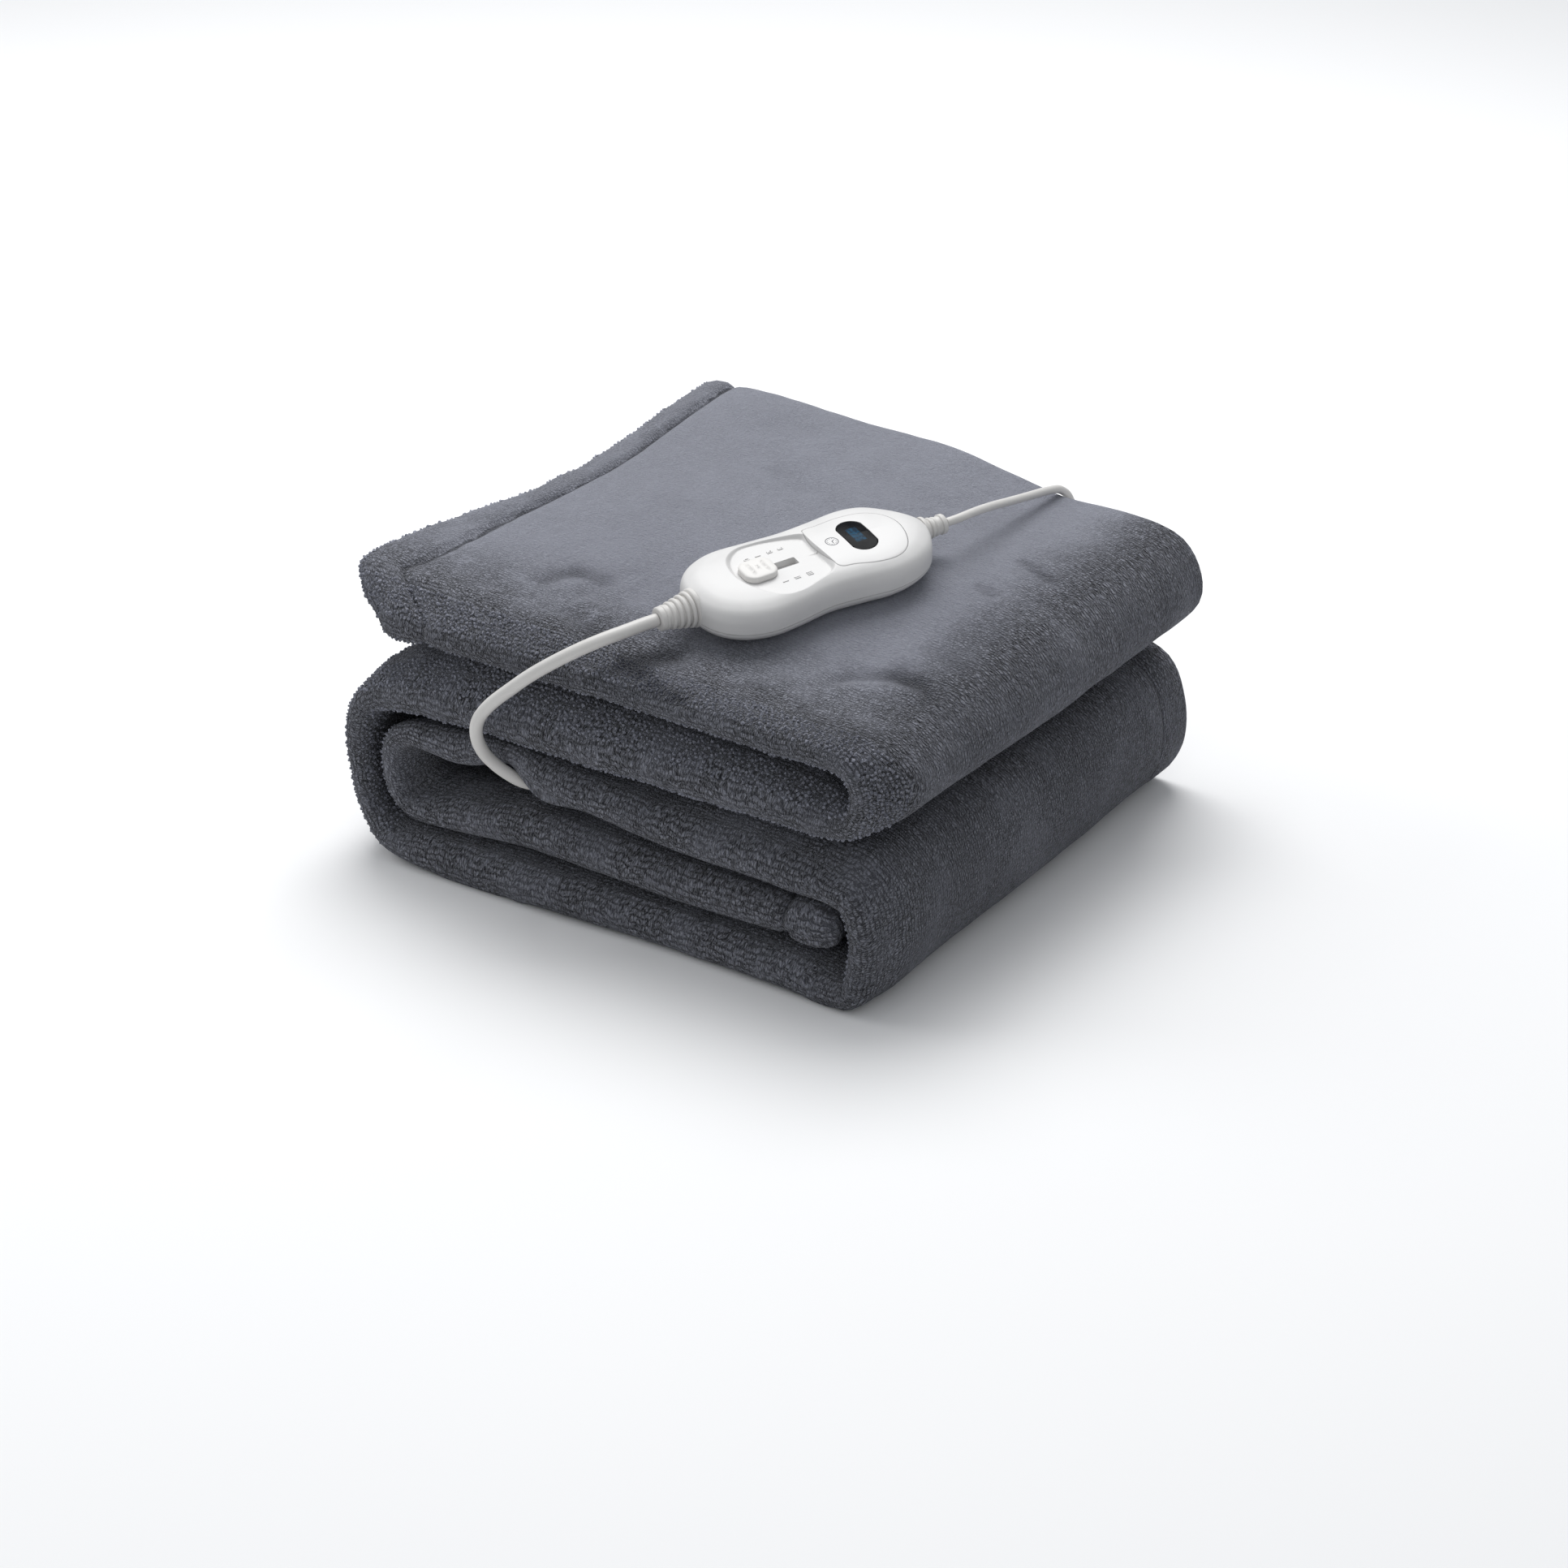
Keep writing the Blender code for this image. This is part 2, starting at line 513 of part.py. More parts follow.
def build_housing(into, cutters, frame):
    """Base, top with its tray and slot, inset panel and display window."""
    base = housing_solid("handset_base", BASE_LEVELS, into, "housing", frame)
    top = housing_solid("handset_top", TOP_LEVELS, into, "housing", frame)
    panel = housing_solid("display_panel", TOP_LEVELS, into, "panel", frame)
    window = housing_solid("display_window", TOP_LEVELS, into, "window", frame)
    above = 20.0
    tray = closed_outline(TRAY_OUTLINE, 36)
    plate = closed_outline(PANEL_OUTLINE, 40)
    glass = window_outline()
    slot_size = (STEM_SIZE[0] + KNOB_TRAVEL + 1.2, STEM_SIZE[1] + 0.8)
    slot_at = (KNOB_AT[0] + KNOB_TRAVEL / 2, KNOB_AT[1])
    slot = rounded_rectangle(slot_size, 0.8, 2, slot_at)
    cuts = (
        (top, "DIFFERENCE", prism("cut_tray", tray, TRAY_FLOOR, above, cutters, frame, draft=7.0)),
        (top, "DIFFERENCE", prism("cut_slot", slot, TRAY_FLOOR - SLOT_DEPTH, above, cutters, frame)),
        (top, "DIFFERENCE", prism("cut_panel", plate, PANEL_FLOOR, above, cutters, frame)),
        (panel, "INTERSECT", prism("keep_panel", plate, PANEL_FLOOR + GAP, above, cutters, frame,
                                   shrink=GAP)),
        (panel, "DIFFERENCE", prism("cut_window", glass, WINDOW_FLOOR, above, cutters, frame)),
        (window, "INTERSECT", prism("keep_window", glass, WINDOW_FLOOR + GAP, above, cutters,
                                    frame, shrink=GAP)),
    )
    for obj, operation, cutter in cuts:
        boolean(obj, cutter, operation)
    for name, profile, root, turn in (
            ("cut_blanket_seat", BLANKET_GLAND_PROFILE, BLANKET_GLAND_ROOT, -1),
            ("cut_mains_seat", MAINS_GLAND_PROFILE, MAINS_GLAND_ROOT, 1)):
        seat = gland_seat(name, profile[0], root, turn, cutters, frame)
        boolean(top, seat, "DIFFERENCE")
        boolean(base, seat, "DIFFERENCE")


def build_knob(into, cutters, frame):
    """Rounded cap with three cross ridges on a stem that runs in the slot."""
    seat = TRAY_FLOOR + GAP
    at = Vector((KNOB_AT[0], KNOB_AT[1], 0.0))
    cap = [p.to_3d() for p in rounded_rectangle(KNOB_SIZE[:2], KNOB_ROUNDING, 5)]
    bm = bmesh.new()
    levels = ((0.0, 1.0), (KNOB_SIZE[2] * 0.75, 0.985), (KNOB_SIZE[2], 0.9))
    loft(bm, [[Vector((p.x * grow, p.y * grow, seat + z)) for p in cap] for z, grow in levels])
    knob = mesh_object("slider_knob", bm, into, "knob", frame)
    knob.location = at * MM
    pieces = [("add_stem", STEM_SIZE, 0.0, seat - STEM_SIZE[2] / 2 + 0.6)]
    for i in (-1, 0, 1):
        pieces.append((f"add_ridge_{i + 2}", RIDGE_SIZE, i * RIDGE_PITCH, seat + KNOB_SIZE[2]))
    for name, size, along, height in pieces:
        bm = bmesh.new()
        bmesh.ops.create_cube(bm, size=1.0)
        bmesh.ops.scale(bm, vec=Vector(size) * MM, verts=bm.verts)
        block = mesh_object(name, bm, cutters, None, frame)
        block.location = (at + Vector((along, 0.0, height))) * MM
        block.hide_render = True
        block.display_type = "WIRE"
        boolean(knob, block, "UNION")


def turned(name, profile, steps, into, material, parent=None, closed=False):
    """Turn a profile of radius and height about the upright axis."""
    bm = bmesh.new()
    verts = [bm.verts.new(Vector((radius, 0.0, z)) * MM) for radius, z in profile]
    ends = verts[1:] + verts[:1] if closed else verts[1:]
    edges = [bm.edges.new(pair) for pair in zip(verts, ends)]
    bmesh.ops.spin(bm, geom=verts + edges, cent=(0, 0, 0), axis=(0, 0, 1),
                   angle=2 * math.pi, steps=steps, use_merge=True)
    bmesh.ops.remove_doubles(bm, verts=bm.verts, dist=0.00002)
    return mesh_object(name, bm, into, material, parent)


def build_gland(name, profile, root, turn, into, frame):
    """Turned strain relief on the long axis of the control, pointing out of its end."""
    outline = [(0.0, profile[0][0])] + [(radius, z) for z, radius in profile]
    outline.append((0.0, profile[-1][0]))
    gland = turned(name, outline, GLAND_STEPS, into, "cable", frame)
    gland.location = Vector((root, 0.0, 0.0)) * MM
    gland.rotation_euler = (0.0, math.radians(90.0 * turn), 0.0)


# ---------------------------------------------------------------- cords and plug
def build_tube(name, points, diameter, into, resolution=2):
    """Round cord along the points, its ends capped."""
    curve = bpy.data.curves.new(name, "CURVE")
    curve.dimensions = "3D"
    curve.bevel_depth = diameter / 2 * MM
    curve.bevel_resolution = resolution
    curve.use_fill_caps = True
    spline = curve.splines.new("POLY")
    spline.points.add(len(points) - 1)
    for knot, point in zip(spline.points, points):
        knot.co = (*((point - ORIGIN) * MM), 1.0)
    return add_object(name, curve, into, "cable")


def oval(half_x, half_y, count, middle=(0.0, 0.0), flatten=None):
    """Points on an oval, its underside held at the flatten height where one is given."""
    points = []
    for i in range(count):
        turn = 2 * math.pi * i / count
        x = middle[0] + half_x * math.cos(turn)
        y = middle[1] + half_y * math.sin(turn)
        points.append((x, y if flatten is None else max(y, flatten)))
    return points


def build_coil(into):
    """Outer shape of the coiled length of mains lead: a ring turned about the upright axis."""
    middle = (COIL_RADIUS, COIL_FLOOR + COIL_BUNDLE[1] - 0.4)
    profile = oval(*COIL_BUNDLE, 14, middle, COIL_FLOOR)
    coil = turned("mains_coil", profile, COIL_STEPS, into, "cable", closed=True)
    coil.location = (Vector((*COIL_AT, 0.0)) - ORIGIN) * MM


def build_tie(into):
    """Flat band round the bundle of turns, on the side of the coil away from the throw."""
    middle = (COIL_RADIUS, COIL_FLOOR + COIL_BUNDLE[1] - 0.4)
    spare = GAP + 0.25
    inside = oval(COIL_BUNDLE[0] + spare, COIL_BUNDLE[1] + spare, 20, middle, COIL_FLOOR - GAP)
    outside = oval(COIL_BUNDLE[0] + spare + TIE_WALL, COIL_BUNDLE[1] + spare + TIE_WALL, 20,
                   middle, COIL_FLOOR - GAP - TIE_WALL)
    bm = bmesh.new()
    rings = []
    for across in (-TIE_WIDTH / 2, TIE_WIDTH / 2):
        for outline in (inside, outside):
            rings.append([bm.verts.new(Vector((x, across, z)) * MM) for x, z in outline])
    inner_near, outer_near, inner_far, outer_far = rings
    count = len(inside)
    for i in range(count):
        j = (i + 1) % count
        bm.faces.new((inner_near[i], inner_near[j], inner_far[j], inner_far[i]))
        bm.faces.new((outer_near[i], outer_far[i], outer_far[j], outer_near[j]))
        bm.faces.new((inner_near[i], outer_near[i], outer_near[j], inner_near[j]))
        bm.faces.new((inner_far[i], inner_far[j], outer_far[j], outer_far[i]))
    tie = mesh_object("coil_tie", bm, into, "tie")
    tie.location = (Vector((*COIL_AT, 0.0)) - ORIGIN) * MM
    tie.rotation_euler = (0.0, 0.0, math.radians(35.0))
    return tie


def plug_ring(distance, half_width, half_height):
    """Squarish oval section of the plug, upright across the X axis."""
    ring = []
    for i in range(PLUG_RING):
        turn = 2 * math.pi * (i + 0.5) / PLUG_RING
        c, s = math.cos(turn), math.sin(turn)
        ring.append(Vector((distance,
                            math.copysign(abs(c) ** 0.6, c) * half_width,
                            math.copysign(abs(s) ** 0.6, s) * half_height)))
    return ring


def build_plug(into):
    """Flat two-pin plug with its moulded boot, lying beside the coil."""
    bm = bmesh.new()
    loft(bm, [plug_ring(*section) for section in PLUG_SECTIONS])
    body = mesh_object("plug_body", bm, into, "housing")
    body.location = (PLUG_AT - ORIGIN) * MM
    face = PLUG_SECTIONS[-1][0] + GAP
    for name, side in (("plug_pin_left", 1), ("plug_pin_right", -1)):
        bm = bmesh.new()
        bmesh.ops.create_cone(bm, cap_ends=True, segments=14, radius1=PIN_RADIUS * MM,
                              radius2=PIN_RADIUS * MM, depth=PIN_LENGTH * MM)
        pin = mesh_object(name, bm, into, "pin")
        out = Vector((face + PIN_LENGTH / 2, side * PIN_SPREAD, 0.0))
        pin.location = (PLUG_AT + out - ORIGIN) * MM
        pin.rotation_euler = (0.0, math.radians(90.0), 0.0)


def handset_frame():
    frame = bpy.data.objects.new("handset_frame", None)
    bpy.context.scene.collection.objects.link(frame)
    frame.location = (HANDSET_AT - ORIGIN) * MM
    frame.rotation_euler = (HANDSET_ROLL, HANDSET_PITCH, HANDSET_YAW)
    return frame


def main():
    clear_scene()
    blanket = collection("electric_heated_blanket")
    cutters = collection("cutters")
    frame = handset_frame()
    build_blanket(blanket)
    build_housing(blanket, cutters, frame)
    build_knob(blanket, cutters, frame)
    build_gland("blanket_gland", BLANKET_GLAND_PROFILE, BLANKET_GLAND_ROOT, -1, blanket, frame)
    build_gland("mains_gland", MAINS_GLAND_PROFILE, MAINS_GLAND_ROOT, 1, blanket, frame)
    build_tube("blanket_lead", smooth_route(LEAD_ROUTE, 2.2 * LEAD_DIAMETER), LEAD_DIAMETER,
               blanket, 3)
    build_tube("mains_lead", smooth_route(MAINS_ROUTE, 2.4 * MAINS_DIAMETER), MAINS_DIAMETER,
               blanket)
    build_tube("mains_tail", smooth_route(TAIL_ROUTE, 2.2 * MAINS_DIAMETER), MAINS_DIAMETER,
               blanket)
    build_coil(blanket)
    build_tie(blanket)
    build_plug(blanket)


main()
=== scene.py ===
import math
from collections import namedtuple

import bmesh
import bpy
import numpy as np
from mathutils import Euler, Matrix, Vector, noise


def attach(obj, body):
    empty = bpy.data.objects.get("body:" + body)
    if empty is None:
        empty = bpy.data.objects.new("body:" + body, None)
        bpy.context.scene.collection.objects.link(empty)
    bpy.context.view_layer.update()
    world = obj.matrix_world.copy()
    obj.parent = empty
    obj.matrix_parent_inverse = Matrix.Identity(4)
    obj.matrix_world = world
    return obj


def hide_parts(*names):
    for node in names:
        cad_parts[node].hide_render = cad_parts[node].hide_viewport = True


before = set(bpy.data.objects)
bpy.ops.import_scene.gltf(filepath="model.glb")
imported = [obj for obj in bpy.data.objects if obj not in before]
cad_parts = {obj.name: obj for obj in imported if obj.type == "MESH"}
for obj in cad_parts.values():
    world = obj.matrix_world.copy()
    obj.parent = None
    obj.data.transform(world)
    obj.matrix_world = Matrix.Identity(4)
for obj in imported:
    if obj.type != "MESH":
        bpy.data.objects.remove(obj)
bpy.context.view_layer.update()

# Looks of the folded electric throw and its slide control.
# Sizes are in millimetres and become metres where a mesh or a curve is made.
# +X runs along the layers, +Y from the folded edge in front to the hemmed edge behind.

MM = 0.001
ORIGIN = Vector((-159.7, 163.6, 0.0))   # middle of the throw in the cloth's own frame
MAIN = "blanket_and_control"            # body that everything but the slider rides on
SLIDER = "slider"

# ------------------------------------------------------------------ camera
CAMERA_TURN = 33.5          # degrees round from the front
CAMERA_RISE = 27.5          # degrees above the floor
CAMERA_LENS = 85.0          # mm, on a 36 mm wide sensor
CAMERA_AWAY = 1.966         # metres to the sight point, along the view
SIGHT_POINT = (0.1597, -0.1636, 0.0036)
SIGHT_PIXEL = (1048.0, 1243.0)          # where that point falls in a 1932 x 1932 picture
PICTURE = 1932.0

# ------------------------------------------------------------------ cloth
LAYERS = 4                  # that the strip is folded into
STRIP_WIDTH = 333.0
SHEET = 3.2                 # thickness of one layer
NEST = 1.1                  # room left inside the inner front fold
NOSE = 30.0                 # depth over which the thin front folds fill out
RISE_FROM = 30.0            # depths between which the strip swells to its middle
RISE_TO = 190.0
RISE_SHARE = 0.8            # share of that swelling that is thickness
SEAT = 0.9                  # what lies lower than this rests on the floor
HEM_DEPTH = 28.3            # from the cut end to the row of stitches
# the same on the top's end, by depth from the front
TOP_HEM = ((0.0, 37.0), (12.0, 35.0), (22.0, 33.5), (32.0, 34.5), (45.0, 37.5), (65.0, 40.0),
           (100.0, 36.0), (140.0, 33.0), (320.0, 32.0))
END_ROUND = 13.0            # reach over which a cut end closes like a pillow
END_SHARE = 0.04            # how much of the strip's thickness is left there
END_CORNER = 3.5            # how far its front corner is rounded
END_CORNER_REACH = (16.0, 45.0)         # along the strip and back from the front
CLOTH_SHARE = 1.12          # thickness of the cloth with its pile, where 1 is a bare layer
INNER_PATTERN = 1500.0      # how far off the inner face's pile pattern is drawn
# distance from the cut end, share of the cloth's thickness there
HEM_PROFILE = (
    (0.0, 0.16), (0.5, 0.55), (1.4, 0.86), (3.0, 1.12), (6.5, 1.3), (12.0, 1.38), (18.0, 1.34),
    (22.5, 1.2), (25.5, 0.92), (27.3, 0.5), (28.4, 0.46), (30.0, 0.8), (33.0, 1.02), (37.0, 1.0))
# the side hems: distance from the cut edge, half thickness
SIDE_HEM = ((0.0, 0.35), (0.5, 1.1), (1.6, 1.7), (4.0, 2.1), (10.0, 2.25), (17.0, 2.15),
            (22.5, 1.9), (26.0, 1.2), (27.6, 0.85), (29.2, 1.2), (32.0, SHEET / 2))
INNER_DEPTHS = (22.0, 38.0, 62.0, 95.0, 130.0, 165.0, 200.0, 235.0, 270.0)
INNER_DRAWN = (22.0, 62.0, 130.0, 200.0, 270.0)     # those drawn on both faces

# relief of the cloth: height, size from hill to hill, seed, octaves
WAVES = ((0.7, 62.0, 1, 2), (0.42, 21.0, 2, 2))
HEM_PADDING = 1.5
HEM_LUMPS = (1.1, 24.0, 5)
HEM_EASE = 4.0              # over which the padding starts and stops
SEAM_SINK = 1.3
SEAM_WIDTH = 2.0
NO_SEAM = 500.0             # distance given where no side seam is near
CONTROL_REST = (52.0, -39.0)            # middle of the control on the top, in the row frame
CONTROL_ROOM = (60.0, -12.0)            # reach of the smooth place under it, and its soft edge
CONTROL_NARROWING = 0.62    # depths count for less, so the place is longer that way
CONTROL_CALM = 0.9          # share of the relief that is taken away there
TOP_FROM = 120.0            # height above which the cloth is the top
LEAD_TUCK = -205.0          # where the layer over the lead hangs down in front of it
LIP_LAYER = (66.0, 84.0)    # heights between which that layer lies
LIP_DEPTH = 20.0            # how far behind the fold the lip ends
LIP_FRONT = (7.5, -2.5)     # from where it starts to hang, and over what distance forwards
LIP_WIDTH = 15.0
LIP_DROP = 5.0

# painted light and shade of the pile, and brush marks of its nap, lighter (+) or darker (-): how
# much, from where, and over what distance; pairs say only from where and over what distance
TOP_SHADE = (0.36, 6.0, 40.0)           # painted light on the top, by depth from the front fold
TOP_REAR_SHADE = (0.02, 90.0, 120.0)
LYING_SHADE = (0.2, 0.0, 40.0)          # more painted light where the top lies flat and faces up
LYING_RIGHT_SHADE = (-0.2, 134.0, 46.0)
LYING_LEFT_SHADE = (0.12, -60.0, -60.0)
# painted shade on the faces that turn to the right
RIGHT_FACE_SHADE = -0.13
FRONT_SHADE = (-0.02, 0.07)             # painted shade taken off the lower and the upper front folds
FRONT_REACH = (4.0, 55.0)
BRUSH_MARKS = (30.0, 9, 3)              # size, seed and octaves of the brush marks
MARKS_SHADE = 0.22
MARKS_EDGE = (0.1, 0.16)
MARKS_FRONT = (8.0, 20.0)
MARKS_REAR = (115.0, -50.0)
# how much stronger a crease's painted shade or highlight is drawn than its listed value
CREASE_SHADE = 2.5
TOP_TURN = (-42.0, 50.0)    # along the strip from the shoulder row, where the top turns down
LYING = (0.35, 0.4)         # upward share of the normal
SIDEWAYS = (0.4, 0.4)       # sideways share of the normal
# how deep the ribs of the pile are drawn, where 1 is full
RIBS_TOP = 0.16
RIBS_TOP_REACH = (18.0, 75.0)
RIBS_SIDE = 0.72
RIBS_SIDE_REACH = (20.0, 30.0)
RIBS_HEM = 0.45             # at least

# where the pile stands up as tufts
TUFT_SINK = 0.35            # how far their feet are in the cloth
TUFT_CORD_ROOM = 8.5        # nothing stands up nearer than this to a lead's middle
TUFT_LOWEST = 3.0
TUFT_FRONT_DEPTH = 22.0
TUFT_HEM_REACH = 9.0        # from the cut end of the top
TUFT_LEFT_DEPTH = 60.0      # on the left side

# Rows along the strip's path, from the top's end to the inner end.  step is how far apart the
# sections stand up to the next row; x, height and thickness are given at the front fold (f) and
# behind it (b); then how far the strip swells in the middle and at the back, how far it shifts
# sideways behind the fold, and how far the fold stands back.
Bend = namedtuple("Bend", "name step fx fz ft bx bz bt mid back shift nose")
PATH = (
    Bend("A hem end", 3.0, -317, 147.5, 18, -350, 160.0, 22, 4, 14, 32, 2),
    Bend("A left", 3.0, -262, 148.5, 16, -292, 158.5, 24, 8, 18, 16, 0),
    Bend("A middle left", 3.0, -200, 148.5, 16, -215, 154.5, 24, 15, 18, 3, 0),
    Bend("A middle", 3.0, -125, 147.5, 16, -135, 149.7, 23, 20, 20, -2, 1),
    Bend("A right", 2.8, -55, 146.5, 16, -62, 145.5, 21, 18, 12, -4, 0),
    Bend("AB shoulder", 2.4, -8, 143.5, 15, 0, 142.5, 19, 10, 12, 5, 1),
    Bend("AB out", 2.4, 0, 125.0, 15, 15, 127.0, 19, 2, 3, 5, 3),
    Bend("AB heel", 3.4, -8, 107.0, 15, 0, 111.5, 19, 0, 1, 3, 3),
    Bend("B right", 5.0, -50, 107.0, 21, -50, 113.0, 32, 2, 2, 0, 1),
    Bend("B middle", 6.0, -125, 107.5, 22, -125, 115.0, 38, 3, 3, 0, 0),
    Bend("B middle left", 5.5, -205, 107.5, 22, -205, 117.0, 42, 4, 4, 0, -1),
    Bend("B left", 4.5, -272, 106.5, 21.5, -262, 117.5, 42, 3, 4, 0, 0),
    Bend("BE shoulder", 3.6, -324, 97.5, 15, -318, 102.0, 28, 0, 2, 4, 1),
    Bend("BE upper", 3.8, -335.5, 77.0, 15, -338, 78.0, 20, 0, 0, 6, 0),
    Bend("BE lower", 3.6, -333, 45.0, 15, -336, 46.0, 19, 0, 0, 5, -1),
    Bend("BE ankle", 3.6, -325.5, 24.5, 15, -331, 27.0, 19, 0, 0, 4, -2),
    Bend("BE heel", 4.5, -311.5, 11.8, 15, -312, 16.0, 21, 0, 0, 2, -4),
    Bend("E left", 6.5, -280, 9.5, 19, -280, 13.8, 27, 0, 0, 0, -5),
    Bend("E middle left", 7.0, -205, 10.5, 21, -205, 14.0, 28, 0, 0, 0, -5),
    Bend("E middle", 6.5, -125, 10.5, 21, -125, 14.0, 28, 0, 0, 0, -2),
    Bend("E right", 4.0, -45, 10.0, 20, -45, 13.8, 27, 0, 0, 0, -3),
    Bend("EC heel", 3.2, -3, 9.5, 15, -1, 13.0, 20, 0, 0, 1, -4),
    Bend("EC lower", 3.0, 2, 26.0, 15, 10, 30.0, 18, 0, 0, 2, -1),
    Bend("EC upper", 3.0, 1, 47.0, 15, 9, 57.0, 18, 0, 0, 2, 1),
    Bend("EC shoulder", 3.6, -8, 63.0, 15, -4, 75.5, 20, 0, 0, 3, 1),
    Bend("C right", 5.5, -50, 69.0, 20, -50, 77.0, 31, 0, 0, 0, 0),
    Bend("C middle", 6.0, -110, 70.5, 20, -110, 77.5, 31, 0, 0, 0, 0),
    Bend("C middle left", 5.0, -165, 75.0, 19.5, -165, 79.5, 28, 0, 0, 0, 1),
    Bend("C beside lead", 3.5, -204, 79.6, 18.4, -204, 84.0, 24, 0, 0, 0, 1),
    Bend("C left", 4.0, -230, 87.3, 14.5, -230, 86.2, 19, 0, 0, 0, 4.5),
    Bend("C far left", 4.0, -266, 81.0, 19.5, -264, 81.5, 24, 0, 0, 0, 2),
    Bend("CD shoulder", 3.6, -300, 81.0, 14, -290, 78.5, 20, 0, 0, 2, 2),
    Bend("CD upper", 3.6, -311.5, 70.0, 13.5, -305, 68.5, 17, 0, 0, 3, 2),
    Bend("CD lower", 3.6, -310.5, 46.0, 14, -303, 50.5, 17, 0, 0, 3, 2),
    Bend("CD heel", 4.5, -298, 33.5, 14.5, -287, 41.5, 20, 0, 0, 2, 3),
    Bend("D left", 6.0, -215, 42.4, 22, -215, 45.0, 29, 0, 0, 0, 1),
    Bend("D middle", 6.0, -130, 40.5, 22, -130, 44.5, 30, 0, 0, 0, 0),
    Bend("D right", 4.0, -60, 41.5, 21, -60, 43.5, 29, 0, 0, 0, 1),
    Bend("D hem end", 1.0, -13, 40.5, 22, -17, 42.5, 24, 0, 0, -2, 2),
)

# ------------------------------------------------------------------ control
HANDSET_AT = Vector((-108.0, 124.5, 186.1))
HANDSET_TURN = Euler((math.radians(9.5), math.radians(-4.9), math.radians(64.3)))
HOUSING_OUTLINE = (
    (-76, -3), (-75, 8), (-71, 19), (-62, 27), (-48, 31.5), (-27, 30.5), (-5, 29), (15, 30),
    (36, 31.5), (50, 28), (61, 18.5), (69, 8), (73, -2), (71, -13), (63, -25), (50, -32.5),
    (34, -35.5), (15, -33.5), (-5, -32), (-26, -35), (-44, -36), (-60, -31), (-71, -20))
OUTLINE_REACH = (75.0, 33.5)            # half length and half width that it spans
PARTING = -4.0              # height where the two halves meet
# how far the wall has drawn in, height
TOP_WALL = ((0.0, PARTING), (0.05, -1.0), (0.2, 3.0), (0.7, 5.6), (1.5, 7.5), (2.7, 9.0),
            (4.4, 10.2), (6.6, 11.3), (9.3, 12.2), (14.7, 13.3), (22.0, 14.0), (33.0, 14.35))
BASE_WALL = ((0.0, -4.3), (0.35, -6.0), (1.6, -8.0), (3.0, -9.6), (5.2, -11.0), (8.0, -12.2),
             (11.0, -13.0), (18.0, -14.0), (33.0, -14.2))
TRAY_OUTLINE = (
    (-46.5, 2), (-43, 13), (-34, 20.5), (-24, 21), (-11, 18.5), (-1, 15), (2.3, 12), (2.3, -18),
    (0, -21.5), (-10, -25), (-21, -28), (-32, -27), (-41, -19), (-46, -8))
TRAY_FLOOR = 10.8
TRAY_SLOPE = 0.76           # how far its wall leans out for each unit of height
TRAY_ROUNDING = 0.5
KNOB_AT = (-34.6, -2.5)
KNOB_CLEARANCE = 0.3        # over the tray's floor
KNOB_SIZE = (20.0, 18.0)
KNOB_ROUNDING = 6.5
# share of the knob's outline, height above its seat
KNOB_DOME = ((1.0, 2.0), (0.985, 2.5), (0.955, 2.95), (0.91, 3.2), (0.8, 3.42), (0.6, 3.55),
             (0.4, 3.6), (0.2, 3.62), (0.05, 3.62))
KNOB_RIDGES = (-4.2, 0.0, 4.2)
RIDGE_WIDTH = 0.5
RIDGE_REACH = 5.6           # half its length
RIDGE_HEIGHT = 0.95
KNOB_TRAVEL = 21.0
STEM_SIZE = (6.0, 5.6)
SLOT_DEPTH = 4.2
PANEL_OUTLINE = (
    (4.6, 16.5), (15, 17.7), (28, 18.3), (41, 16.2), (49, 11.5), (53.5, 4.5), (55, -4),
    (53.8, -13), (50, -21.5), (44, -26.5), (36, -28.4), (26, -27.5), (14, -24), (7, -22.5),
    (4.6, -19))
PANEL_FLOOR = 11.0
PANEL_GAP = 0.22            # between the plate and its seat in the housing
WINDOW_AT = (28.4, -2.8)
WINDOW_SIZE = (16.2, 29.4)
WINDOW_SIDE = 9.0           # half the length of its straight sides
WINDOW_FLOOR = 12.4
WINDOW_GAP = 0.16
# lit field of the display, in metres from the window's middle
LIT_FIELD = (("X", -0.0036, 0.0026), ("Y", -0.0062, 0.0068))
LIT_EDGE = 0.0004
DIGITS = (("0", -33.9, 10.9), ("1", -26.9, 10.9), ("2", -19.3, 10.9), ("3", -12.6, 10.9))
NUMERALS = (("I", -25.8, -17.1), ("II", -18.4, -17.1), ("III", -10.6, -17.1))
NUMBER_SIZE = 4.6
NUMBER_THICK = 0.5
CLOCK_AT = (13.0, -1.6)     # small clock-face mark beside the window
CLOCK_RADIUS = 3.6
CLOCK_LINE = 0.42
CLOCK_TICKS = (2.9, 2.35, 0.34)         # outer end, inner end, width
# strain reliefs: place of the root and the way it points, radius of the sleeve at root and tip,
# its reach, and its ribs with the first one's place, their pitch, their width and the collar
BLANKET_GLAND = dict(root=-74.6, turn=-1, sleeve=(10.6, 5.9), reach=21.0, ribs=5, first=2.6,
                     pitch=3.9, wide=2.5, collar=10.9)
MAINS_GLAND = dict(root=74.0, turn=1, sleeve=(7.0, 5.0), reach=13.6, ribs=4, first=1.2,
                   pitch=3.1, wide=2.2, collar=7.8)

